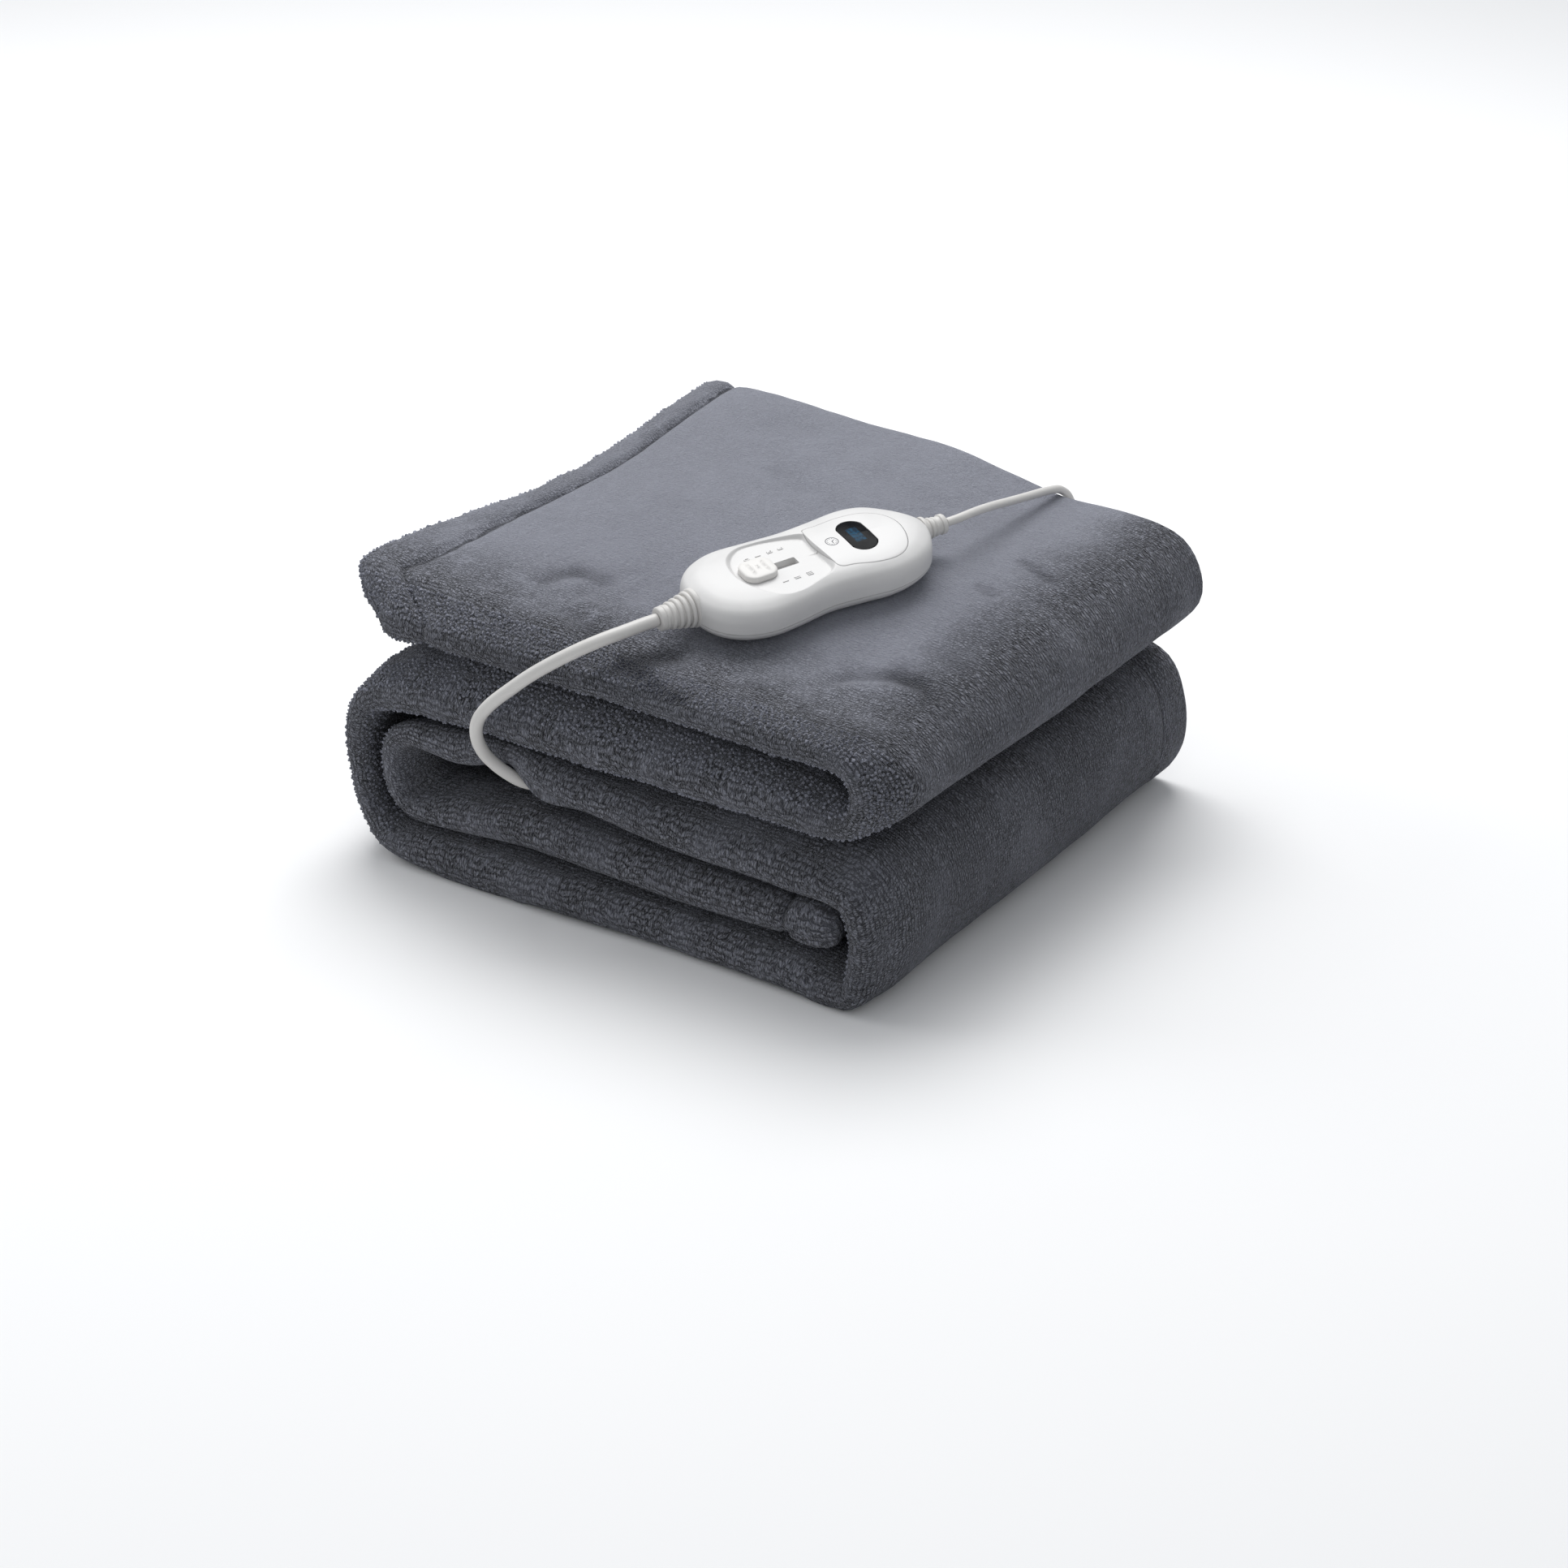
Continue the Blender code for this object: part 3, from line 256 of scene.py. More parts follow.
# ------------------------------------------------------------------ cords
LEAD_DIAMETER = 7.4
MAINS_DIAMETER = 5.0
CORD_SPACING = (3.0, 3.2)   # between points of the blanket lead and of the mains lead
LEAD_ROUTE = (
    (-149.5, 38.3, 177.9), (-153.1, 30.8, 177.2), (-158.0, 20.0, 175.9), (-164.0, 9.5, 174.0),
    (-172.0, 0.0, 170.1), (-183.0, -7.5, 163.1), (-197.0, -12.4, 152.7), (-210.2, -14.9, 141.2),
    (-221.2, -16.6, 131.0), (-228.8, -17.2, 121.7), (-233.0, -16.0, 112.7), (-234.8, -13.0, 103.4),
    (-234.4, -8.3, 93.7), (-232.2, -3.0, 85.8), (-228.4, 2.4, 79.0), (-223.0, 9.6, 71.9),
    (-217.4, 19.0, 67.2), (-212.5, 30.0, 65.0))
MAINS_ROUTE = (
    (-69.3, 204.9, 193.7), (-66.4, 210.9, 194.3), (-64.6, 219.0, 194.3), (-64.2, 230.0, 193.0),
    (-64.8, 242.0, 190.6), (-65.6, 256.0, 187.4), (-66.0, 270.0, 184.2), (-66.2, 284.0, 181.2),
    (-66.2, 299.0, 178.2), (-66.0, 314.0, 175.2), (-65.8, 327.0, 171.4), (-65.5, 338.0, 163.0),
    (-65.2, 344.5, 150.0), (-65.0, 347.8, 132.0), (-65.0, 349.0, 110.0), (-65.0, 349.2, 86.0),
    (-65.5, 349.5, 60.0), (-68.0, 351.0, 37.0), (-76.0, 354.0, 17.5), (-92.0, 357.5, 6.0),
    (-115.0, 359.5, 3.0), (-150.0, 359.8, 3.0), (-185.0, 359.9, 3.2), (-212.0, 360.0, 3.6))
TAIL_ROUTE = ((-222.0, 446.0, 8.1), (-206.0, 445.8, 7.5), (-190.0, 445.4, 6.9),
              (-178.6, 445.2, 6.75))
COIL_AT = (-235.0, 403.0)
COIL_RADIUS = 31.0
COIL_LOW = 4.0              # height of the lowest turns' middle
COIL_REACH = 43.0           # where the lead joins the coil and leaves it
COIL_TURNS = 7.5
# turns at which the lead passes from one place in the bundle to the next
COIL_CROSSINGS = (1.14, 2.15, 2.88, 3.83, 4.83, 5.64, 6.5)
COIL_CROSSING_WIDTH = 0.34
# in turns: from where the lead joins or leaves the bundle, and over how many
COIL_JOIN = (0.04, 0.34)
COIL_LEAVE = (0.155, 0.352)
COIL_CLIMB = (0.58, 0.284)
COIL_DESCENT = (0.021, 0.295)
COIL_OVER = 6.365           # how far the end climbs over the turns
COIL_TAIL_RISE = 0.3        # above the tail's first point
COIL_STEPS = 40             # points for each turn
COIL_PLAY = 0.8             # room between two turns
COIL_ROOM = (9.75, 8.15)    # half width and half height inside the strap
COIL_MIDDLE = 8.6           # height of the bundle's middle
TIE_WALL = 1.1
TIE_WIDTH = 9.0
TIE_LAPS = 1.12             # turns of the strap round the cord
TIE_CORNERS = 0.58          # power that squares its section
TIE_START = 0.4             # radians round its section, where its ends lap
TIE_TURN = math.radians(35.0)
PLUG_AT = Vector((-178.3, 445.2, 6.75))
# distance from the boot's end, half width, half height
PLUG_SECTIONS = (
    (0.0, 3.4, 3.4), (1.0, 3.9, 3.9), (9.0, 4.2, 4.0), (16.0, 5.0, 4.6), (19.5, 8.6, 6.3),
    (24.0, 12.4, 6.8), (34.0, 13.9, 6.8), (44.0, 16.0, 6.8), (50.0, 17.4, 6.8),
    (52.4, 17.5, 6.5), (53.4, 16.9, 5.9))
PLUG_RINGS = 120
PLUG_AROUND = 72
PLUG_CORNERS = 0.6          # power that squares its section
PIN_ROOT = 53.8             # along the plug
PIN_SLEEVE = 9.5


# ------------------------------------------------------------------ helpers
def linear(red, green, blue):
    """Blender colour of a paint given in ordinary 0 to 255 values."""
    def one(value):
        share = value / 255.0
        return share / 12.92 if share <= 0.04045 else ((share + 0.055) / 1.055) ** 2.4
    return (one(red), one(green), one(blue), 1.0)


def smooth(t):
    """0 to 1 with a level start and end, held at both beyond them."""
    t = np.clip(t, 0.0, 1.0)
    return t * t * (3.0 - 2.0 * t)


def eased(values, start, span):
    """0 up to start and 1 past start + span; a span below 0 runs the other way."""
    return smooth((values - start) / span)


def mix(a, b, t):
    """Between a and b, by the share t of b."""
    return a + (b - a) * t


def knots(points):
    """Running chord length along rows of points."""
    points = np.asarray(points, float)
    steps = np.sqrt((np.diff(points, axis=0) ** 2).sum(1))
    return np.concatenate(([0.0], np.cumsum(steps)))


def smooth_curve(at, values, where):
    """Places on the smooth curve through values given at uneven places."""
    at, values, where = (np.asarray(x, float) for x in (at, values, where))
    last = len(at) - 1
    low, high = np.maximum(np.arange(last + 1) - 1, 0), np.minimum(np.arange(last + 1) + 1, last)
    flat = values.reshape(last + 1, -1)
    slope = (flat[high] - flat[low]) / (at[high] - at[low])[:, None]
    i = np.clip(np.searchsorted(at, where, side="left") - 1, 0, last - 1)
    span = (at[i + 1] - at[i])[..., None]
    t = (where - at[i])[..., None] / span
    found = (flat[i] * (1 + 2 * t) * (1 - t) ** 2 + flat[i + 1] * t * t * (3 - 2 * t)
             + slope[i] * t * (1 - t) ** 2 * span + slope[i + 1] * t * t * (t - 1) * span)
    return found.reshape(where.shape + values.shape[1:])


def smooth_route(points, spacing):
    """Evenly spaced points on one smooth curve through a route's own points."""
    at = knots(points)
    count = max(2, round(at[-1] / spacing))
    return smooth_curve(at, points, at[-1] * np.arange(count + 1) / count)


def closed_outline(points, count):
    """Count points on a smooth closed curve through the outline's own points."""
    ring = [tuple(p) for p in points]
    wrapped = np.array(ring[-2:] + ring + ring[:3], float)
    at = knots(wrapped)
    start, length = at[2], at[2 + len(ring)] - at[2]
    return smooth_curve(at, wrapped, start + length * np.arange(count) / count)


def in_row_frame(points):
    """Metres in the row frame for millimetres in the cloth's own frame."""
    return (np.asarray(points, float) - np.array(ORIGIN)) * MM


def grid_faces(rows, columns):
    """Quads between rings of points that are numbered ring by ring."""
    i, j = np.meshgrid(np.arange(rows - 1), np.arange(columns), indexing="ij")
    i, j = i.ravel(), j.ravel()
    k = (j + 1) % columns
    return np.stack([i * columns + j, i * columns + k, (i + 1) * columns + k,
                     (i + 1) * columns + j], 1)


def new_mesh(name, points, faces, caps=()):
    """Mesh of points and faces, with the caps as faces of their own."""
    data = bpy.data.meshes.new(name)
    data.from_pydata([tuple(p) for p in points], [], [tuple(f) for f in faces] + list(caps))
    data.update()
    return data


def closed_grid(name, points, rows, columns):
    """Mesh of rings of points, numbered ring by ring, with both ends closed."""
    return new_mesh(name, points, grid_faces(rows, columns),
                    [tuple(range(columns)), tuple(range((rows - 1) * columns, rows * columns))])


def faces_out(data, merge=True):
    """Turn the faces of a closed mesh outwards, its doubles merged first."""
    bm = bmesh.new()
    bm.from_mesh(data)
    if merge:
        bmesh.ops.remove_doubles(bm, verts=bm.verts, dist=1e-7)
    bmesh.ops.recalc_face_normals(bm, faces=bm.faces)
    bm.to_mesh(data)
    bm.free()
    data.update()


def note(data, name, values):
    """Keep a value for each point, for the materials to read."""
    layer = data.attributes.new(name, "FLOAT", "POINT")
    layer.data.foreach_set("value", values.astype(np.float32))


def show(name, data, material=None, sharp=40.0):
    """Put a mesh or a curve in the scene, smooth but for edges sharper than the angle."""
    piece = bpy.data.objects.new(name, data)
    bpy.context.scene.collection.objects.link(piece)
    if material is not None:
        data.materials.clear()
        data.materials.append(material)
    if piece.type == "MESH":
        data.shade_smooth()
        data.set_sharp_from_angle(angle=math.radians(sharp))
    return piece


def as_mesh(piece, name, material=None, sharp=40.0):
    """Plain mesh of a piece with its modifiers worked out; the piece itself goes."""
    seen = piece.evaluated_get(bpy.context.evaluated_depsgraph_get())
    data = bpy.data.meshes.new_from_object(seen)
    data.transform(piece.matrix_world)
    bpy.data.objects.remove(piece)
    made = show(name, data, material, sharp)
    data.name = name
    return made


def join(name, pieces, material, sharp=40.0):
    """One mesh of several pieces."""
    bm = bmesh.new()
    for piece in pieces:
        bm.from_mesh(piece.data)
        bpy.data.objects.remove(piece)
    data = bpy.data.meshes.new(name)
    bm.to_mesh(data)
    bm.free()
    return show(name, data, material, sharp)


# ------------------------------------------------------------------ node trees
class Patch:
    """Lays nodes out in a shader or geometry tree and joins them."""

    def __init__(self, tree):
        self.tree = tree
        self.count = 0

    def node(self, kind, settings=None, **inputs):
        """New node with its settings, and its inputs by their labels."""
        made = self.tree.nodes.new(kind)
        made.location = (180 * self.count, -40 * (self.count % 5))
        self.count += 1
        for key, value in (settings or {}).items():
            setattr(made, key, value)
        for key, value in inputs.items():
            self.feed(made, key.replace("_", " "), value)
        return made

    def feed(self, made, key, value):
        """Fill a node's input, named by its label or by its number."""
        self.fill(made.inputs[int(key)] if key.isdigit() else made.inputs[key], value)

    def fill(self, socket, value):
        """Link a socket, or give it a plain value."""
        if isinstance(value, bpy.types.NodeSocket):
            self.tree.links.new(value, socket)
        else:
            socket.default_value = value

    def sum(self, operation, first, second=None, third=None, clamp=False):
        """Any sum that the Math node does."""
        made = self.node("ShaderNodeMath", {"operation": operation, "use_clamp": clamp})
        for key, value in (("0", first), ("1", second), ("2", third)):
            if value is not None:
                self.feed(made, key, value)
        return made.outputs[0]

    def vector(self, operation, first, second=None):
        """Any sum that the Vector Math node does."""
        made = self.node("ShaderNodeVectorMath", {"operation": operation})
        self.feed(made, "0", first)
        if second is not None:
            self.feed(made, "1", second)
        return made.outputs[0]

    def ramp(self, value, low, high, to_low=0.0, to_high=1.0, soft=True):
        """A range of the value carried over to another range, eased at its ends if soft."""
        made = self.node("ShaderNodeMapRange",
                         {"interpolation_type": "SMOOTHSTEP" if soft else "LINEAR"})
        for key, what in (("Value", value), ("From Min", low), ("From Max", high),
                          ("To Min", to_low), ("To Max", to_high)):
            self.feed(made, key, what)
        return made.outputs[0]

    def blend(self, share, first, second, kind="MIX"):
        """Colour between the first and the second, by the share of the second."""
        made = self.node("ShaderNodeMix", {"data_type": "RGBA", "blend_type": kind})
        self.feed(made, "0", share)
        self.fill(made.inputs[6], first)
        self.fill(made.inputs[7], second)
        return made.outputs[2]


def name_inputs(tree, inputs):
    """Named inputs of a node group, each with its kind and its usual value."""
    for label, kind, value in inputs:
        socket = tree.interface.new_socket(label, in_out="INPUT", socket_type="NodeSocket" + kind)
        if value is not None:
            socket.default_value = value


def group(name, inputs, outputs):
    """Empty shader node group with named sockets, and its own in and out nodes."""
    tree = bpy.data.node_groups.new(name, "ShaderNodeTree")
    name_inputs(tree, inputs)
    for label, kind in outputs:
        tree.interface.new_socket(label, in_out="OUTPUT", socket_type=kind)
    patch = Patch(tree)
    return tree, patch, patch.node("NodeGroupInput").outputs, patch.node("NodeGroupOutput")


def geometry_tree(name, inputs):
    """Empty geometry tree with named inputs, its patch and its inputs."""
    tree = bpy.data.node_groups.new(name, "GeometryNodeTree")
    name_inputs(tree, inputs)
    tree.interface.new_socket("Geometry", in_out="OUTPUT", socket_type="NodeSocketGeometry")
    patch = Patch(tree)
    return tree, patch, patch.node("NodeGroupInput").outputs


def end_tree(p, shape, look):
    """Close a geometry tree: its instances made real and given their material."""
    real = p.node("GeometryNodeRealizeInstances", Geometry=shape)
    painted = p.node("GeometryNodeSetMaterial", Geometry=real.outputs[0], Material=look)
    p.tree.links.new(painted.outputs[0], p.node("NodeGroupOutput").inputs[0])


def run_tree(name, tree, values, carrier=None):
    """Plain mesh that a geometry tree makes, its inputs set by their sockets' identifiers."""
    data = carrier if carrier is not None else bpy.data.meshes.new(name)
    piece = bpy.data.objects.new(name + "_source", data)
    bpy.context.scene.collection.objects.link(piece)
    step = piece.modifiers.new("made", "NODES")
    step.node_group = tree
    for item in tree.interface.items_tree:
        if item.item_type == "SOCKET" and item.in_out == "INPUT" and item.name in values:
            step[item.identifier] = values[item.name]
    bpy.context.view_layer.update()
    seen = piece.evaluated_get(bpy.context.evaluated_depsgraph_get())
    made = bpy.data.meshes.new_from_object(seen)
    piece.modifiers.clear()
    bpy.data.objects.remove(piece)
    return show(name, made)


# ------------------------------------------------------------------ materials
def plush_pile_group():
    """Looped pile in ribs.  Gives its height, painted shade in the dark lines and pits between
    loops, and fine fibres.
    """
    tree, p, given, out = group("plush_pile", (
        ("Cloth", "Vector", None), ("Rib Pitch", "Float", 0.0021),
        ("Loop Length", "Float", 0.0017), ("Sway", "Float", 0.0026), ("Ribbing", "Float", 1.0)),
        (("Height", "NodeSocketFloat"), ("Valley", "NodeSocketFloat"),
         ("Fibre", "NodeSocketFloat")))
    warped = given["Cloth"]
    for size, reach in ((0.016, 1.5), (0.0034, 0.36)):
        sway = p.node("ShaderNodeTexNoise", {"noise_dimensions": "2D"}, Vector=given["Cloth"],
                      Scale=1.0 / size, Detail=2.0, Roughness=0.6)
        off = p.vector("SUBTRACT", sway.outputs["Color"], (0.5, 0.5, 0.5))
        made = p.node("ShaderNodeVectorMath", {"operation": "SCALE"})
        p.feed(made, "0", off)
        p.feed(made, "Scale", p.sum("MULTIPLY", given["Sway"], reach))
        warped = p.vector("ADD", warped, made.outputs[0])
    axes = p.node("ShaderNodeSeparateXYZ", Vector=warped)
    across = p.sum("DIVIDE", axes.outputs["Y"], given["Rib Pitch"])
    along = p.sum("DIVIDE", axes.outputs["X"], given["Loop Length"])
    loop_at = p.node("ShaderNodeCombineXYZ", X=along, Y=across)
    loops = p.node("ShaderNodeTexVoronoi",
                   {"voronoi_dimensions": "2D", "feature": "DISTANCE_TO_EDGE"},
                   Vector=loop_at.outputs[0], Scale=1.0, Randomness=0.9)
    loop = p.ramp(loops.outputs["Distance"], 0.0, 0.36)
    line = p.ramp(loops.outputs["Distance"], 0.05, 0.2, 1.0, 0.0)
    wave = p.sum("COSINE", p.sum("MULTIPLY_ADD", across, 2 * math.pi, -1.95))
    broken = p.node("ShaderNodeTexNoise", {"noise_dimensions": "2D"},
                    Vector=p.vector("MULTIPLY", warped, (0.5, 1.0, 1.0)), Scale=230.0, Detail=2.0)
    groove = p.sum("MULTIPLY", p.ramp(p.sum("MULTIPLY", wave, -1.0), 0.2, 0.9),
                   p.ramp(broken.outputs[0], 0.32, 0.5, 0.0, 1.0))
    tuft = p.node("ShaderNodeTexNoise", {"noise_dimensions": "2D"}, Vector=warped, Scale=420.0,
                  Detail=3.0, Roughness=0.65)
    clump = p.node("ShaderNodeTexNoise", {"noise_dimensions": "2D"}, Vector=warped, Scale=120.0,
                   Detail=3.0, Roughness=0.6)
    clumped = p.ramp(clump.outputs[0], 0.34, 0.58, 0.25, 1.0)
    fibre = p.node("ShaderNodeTexNoise", {"noise_dimensions": "2D"}, Vector=given["Cloth"],
                   Scale=1900.0, Detail=2.0, Roughness=0.75)
    crumb = p.node("ShaderNodeTexNoise", {"noise_dimensions": "2D"},
                   Vector=p.vector("MULTIPLY", warped, (0.75, 1.0, 1.0)), Scale=560.0,
                   Detail=2.0, Roughness=0.6)
    pits = p.ramp(crumb.outputs[0], 0.42, 0.5, 1.0, 0.0)
    # gaps between the loops: the bump sinks there and the material paints shade there
    gaps = p.sum("MAXIMUM", p.sum("MULTIPLY", line, p.sum("MULTIPLY", clumped, 0.5)),
                 p.sum("MAXIMUM", groove, pits))
    gaps = p.sum("MULTIPLY", gaps, given["Ribbing"])
    height = p.sum("MULTIPLY", p.sum("MULTIPLY", loop, given["Ribbing"]), 0.45)
    height = p.sum("MULTIPLY_ADD", tuft.outputs[0], 0.5, height)
    height = p.sum("MULTIPLY_ADD", clumped, 0.18, height)
    height = p.sum("MULTIPLY_ADD", gaps, -0.45, height)
    p.feed(out, "Height", height)
    p.feed(out, "Valley", gaps)
    p.feed(out, "Fibre", fibre.outputs[0])
    return tree


def moulded_grain_group():
    """Very fine grain of moulded plastic, with a little handling haze."""
    tree, p, given, out = group("moulded_grain", (
        ("Place", "Vector", None), ("Grain Size", "Float", 0.0005), ("Haze Size", "Float", 0.02)),
        (("Height", "NodeSocketFloat"), ("Haze", "NodeSocketFloat")))
    fine = p.node("ShaderNodeTexNoise", Vector=given["Place"],
                  Scale=p.sum("DIVIDE", 1.0, given["Grain Size"]), Detail=2.0, Roughness=0.6)
    broad = p.node("ShaderNodeTexNoise", Vector=given["Place"],
                   Scale=p.sum("DIVIDE", 1.0, given["Haze Size"]), Detail=3.0, Roughness=0.55)
    p.feed(out, "Height", fine.outputs[0])
    p.feed(out, "Haze", broad.outputs[0])
    return tree


def new_material(name):
    """Material, the patch for its nodes and its shader."""
    material = bpy.data.materials.new(name)
    material.use_nodes = True
    return material, Patch(material.node_tree), material.node_tree.nodes["Principled BSDF"]


def soften(shader):
    """Dull surface with the cool sheen of plush."""
    for name, value in (("Roughness", 0.95), ("Specular IOR Level", 0.1), ("Sheen Weight", 0.3),
                        ("Sheen Roughness", 0.5), ("Sheen Tint", (0.88, 0.89, 0.94, 1.0))):
        shader.inputs[name].default_value = value


def plush_material(name, dark, light):
    """Looped pile in ribs over the cloth, its nap brushed lighter and darker, painted light and
    shade by how the cloth lies, and painted shade between the loops and in its seams.
    """
    material, p, shader = new_material(name)
    cloth = p.node("ShaderNodeUVMap", {"uv_map": "cloth"}).outputs[0]
    ribbing = p.node("ShaderNodeAttribute", {"attribute_name": "ribbing"}).outputs["Fac"]
    nap_and_painted_light = p.node("ShaderNodeAttribute", {"attribute_name": "nap_and_painted_light"}).outputs["Fac"]
    pile = p.node("ShaderNodeGroup", {"node_tree": bpy.data.node_groups["plush_pile"]})
    p.feed(pile, "Cloth", cloth)
    patches = p.node("ShaderNodeTexNoise", {"noise_dimensions": "2D"}, Vector=cloth, Scale=30.0,
                     Detail=4.0, Roughness=0.62)
    uneven = p.ramp(patches.outputs[0], 0.34, 0.6, 0.62, 1.0)
    p.feed(pile, "Ribbing", p.sum("MULTIPLY", ribbing, uneven))
    brushed = p.node("ShaderNodeTexNoise", {"noise_dimensions": "2D"},
                     Vector=p.vector("MULTIPLY", cloth, (1.0, 1.5, 1.0)), Scale=13.0, Detail=5.0,
                     Roughness=0.55, Distortion=0.4)
    shade = p.ramp(brushed.outputs[0], 0.3, 0.7, 0.4, 0.6)
    shade = p.sum("MULTIPLY_ADD", p.sum("SUBTRACT", pile.outputs["Fibre"], 0.5), 0.7, shade)
    # painted highlight on the loops, lighter where the pile stands higher
    shade = p.sum("MULTIPLY_ADD", p.sum("SUBTRACT", pile.outputs["Height"], 0.45), 0.5, shade)
    # painted light and shade from how the cloth lies and from its creases, with the nap's brush
    # marks
    shade = p.sum("ADD", shade, nap_and_painted_light, clamp=True)
    base = p.blend(shade, dark, light)
    beside = p.node("ShaderNodeAttribute", {"attribute_name": "seam"}).outputs["Fac"]
    wander = p.node("ShaderNodeTexNoise", {"noise_dimensions": "2D"}, Vector=cloth, Scale=110.0,
                    Detail=3.0)
    beside = p.sum("ABSOLUTE", p.sum("MULTIPLY_ADD", wander.outputs[0], 0.003,
                                     p.sum("SUBTRACT", beside, 0.0015)))
    # painted shade along the groove of each row of stitches
    seam_groove = p.ramp(beside, 0.0004, 0.0017, 0.75, 0.0)
    # painted shade in the gaps between loops and in the seam grooves, towards a fifth of the dark
    # colour
    deep = p.sum("MAXIMUM", p.sum("MULTIPLY", pile.outputs["Valley"], 0.92), seam_groove)
    p.feed(shader, "Base Color", p.blend(deep, base, tuple(c * 0.2 for c in dark[:3]) + (1.0,)))
    soften(shader)
    height = p.sum("MULTIPLY_ADD", pile.outputs["Fibre"], 0.3, pile.outputs["Height"])
    height = p.sum("MULTIPLY_ADD", seam_groove, -0.6, height)
    bump = p.node("ShaderNodeBump", Height=height, Strength=1.0, Distance=0.0028)
    p.feed(shader, "Normal", bump.outputs[0])
    return material


def tuft_material(name, dark, light):
    """Tips of the pile, lighter than the painted shade of the gaps between them, with the cloth's
    painted light and shade.
    """
    material, p, shader = new_material(name)
    place = p.node("ShaderNodeTexCoord").outputs["Object"]
    nap_and_painted_light = p.node("ShaderNodeAttribute", {"attribute_name": "nap_and_painted_light"}).outputs["Fac"]
    fibre = p.node("ShaderNodeTexNoise", Vector=place, Scale=700.0, Detail=3.0, Roughness=0.7)
    shade = p.ramp(fibre.outputs[0], 0.3, 0.7, 0.15, 0.85)
    # the colour takes the cloth's painted light and shade from the nap attribute
    p.feed(shader, "Base Color", p.blend(p.sum("ADD", shade, nap_and_painted_light, clamp=True), dark, light))
    soften(shader)
    bump = p.node("ShaderNodeBump", Height=fibre.outputs[0], Strength=0.4, Distance=0.0006)
    p.feed(shader, "Normal", bump.outputs[0])
    return material


def plastic_material(name, colour, roughness, grain=0.0005, relief=0.12):
    """Moulded plastic with a very fine grain and a little haze."""
    material, p, shader = new_material(name)
    place = p.node("ShaderNodeTexCoord").outputs["Object"]
    skin = p.node("ShaderNodeGroup", {"node_tree": bpy.data.node_groups["moulded_grain"]})
    p.feed(skin, "Place", place)
    p.feed(skin, "Grain Size", grain)
    tone = tuple(c * 0.955 for c in colour[:3]) + (1.0,)
    p.feed(shader, "Base Color", p.blend(p.ramp(skin.outputs["Haze"], 0.3, 0.7), tone, colour))
    p.feed(shader, "Roughness", p.ramp(skin.outputs["Haze"], 0.25, 0.75, roughness - 0.04,
                                       roughness + 0.05))
    bump = p.node("ShaderNodeBump", Height=skin.outputs["Height"], Strength=relief,
                  Distance=0.0001)
    p.feed(shader, "Normal", bump.outputs[0])
    return material


def glass_material():
    """Smoked display window with a dim teal field behind it."""
    material, p, shader = new_material("display_glass")
    at = p.node("ShaderNodeAttribute", {"attribute_name": "display"}).outputs["Vector"]
    axes = p.node("ShaderNodeSeparateXYZ", Vector=at)
    inside = None
    for axis, low, high in LIT_FIELD:
        for edge, rising in ((low, True), (high, False)):
            soft = p.ramp(axes.outputs[axis], edge - LIT_EDGE, edge + LIT_EDGE,
                          0.0 if rising else 1.0, 1.0 if rising else 0.0)
            inside = soft if inside is None else p.sum("MULTIPLY", inside, soft)
    bars = p.node("ShaderNodeTexNoise", {"noise_dimensions": "2D"}, Vector=at, Scale=420.0,
                  Detail=1.0)
    teal = p.blend(p.ramp(bars.outputs[0], 0.35, 0.65), linear(9, 36, 54), linear(19, 66, 92))
    p.feed(shader, "Base Color", p.blend(inside, linear(7, 8, 12), teal))
    wipe = p.node("ShaderNodeTexNoise", {"noise_dimensions": "2D"}, Vector=at, Scale=90.0)
    p.feed(shader, "Roughness", p.ramp(wipe.outputs[0], 0.3, 0.7, 0.2, 0.28))
    shader.inputs["Specular IOR Level"].default_value = 0.04
    return material


def strap_material():
    """Hook-and-loop strap: short black loops over a plain weave."""
    material, p, shader = new_material("loop_strap")
    at = p.node("ShaderNodeUVMap", {"uv_map": "cloth"}).outputs[0]
    loops = p.node("ShaderNodeTexVoronoi", {"voronoi_dimensions": "2D"}, Vector=at, Scale=1400.0)
    weave = p.node("ShaderNodeTexWave", {"bands_direction": "DIAGONAL"}, Vector=at, Scale=420.0,
                   Distortion=1.5)
    share = p.sum("MULTIPLY", loops.outputs["Distance"], weave.outputs[1])
    p.feed(shader, "Base Color", p.blend(share, linear(12, 12, 13), linear(52, 52, 56)))
    shader.inputs["Roughness"].default_value = 0.85
    bump = p.node("ShaderNodeBump", Height=share, Strength=0.8, Distance=0.0004)
    p.feed(shader, "Normal", bump.outputs[0])
    return material


def pin_material():
    """Nickel pins with a moulded sleeve next to the plug."""
    material, p, shader = new_material("plug_pins")
    place = p.node("ShaderNodeTexCoord").outputs["Object"]
    along = p.node("ShaderNodeSeparateXYZ", Vector=place).outputs["X"]
    sleeve_end = (PLUG_AT.x - ORIGIN.x + PIN_ROOT + PIN_SLEEVE) * MM
    bare = p.ramp(along, sleeve_end - 0.0002, sleeve_end + 0.0002)
    brushed = p.node("ShaderNodeTexNoise", Vector=p.vector("MULTIPLY", place, (900.0, 60.0, 60.0)),
                     Scale=3.0, Detail=4.0)
    metal = p.blend(brushed.outputs[0], linear(176, 174, 168), linear(214, 212, 206))
    p.feed(shader, "Base Color", p.blend(bare, linear(226, 225, 222), metal))
    p.feed(shader, "Metallic", bare)
    p.feed(shader, "Roughness", p.ramp(brushed.outputs[0], 0.2, 0.8, 0.24, 0.42))
    return material


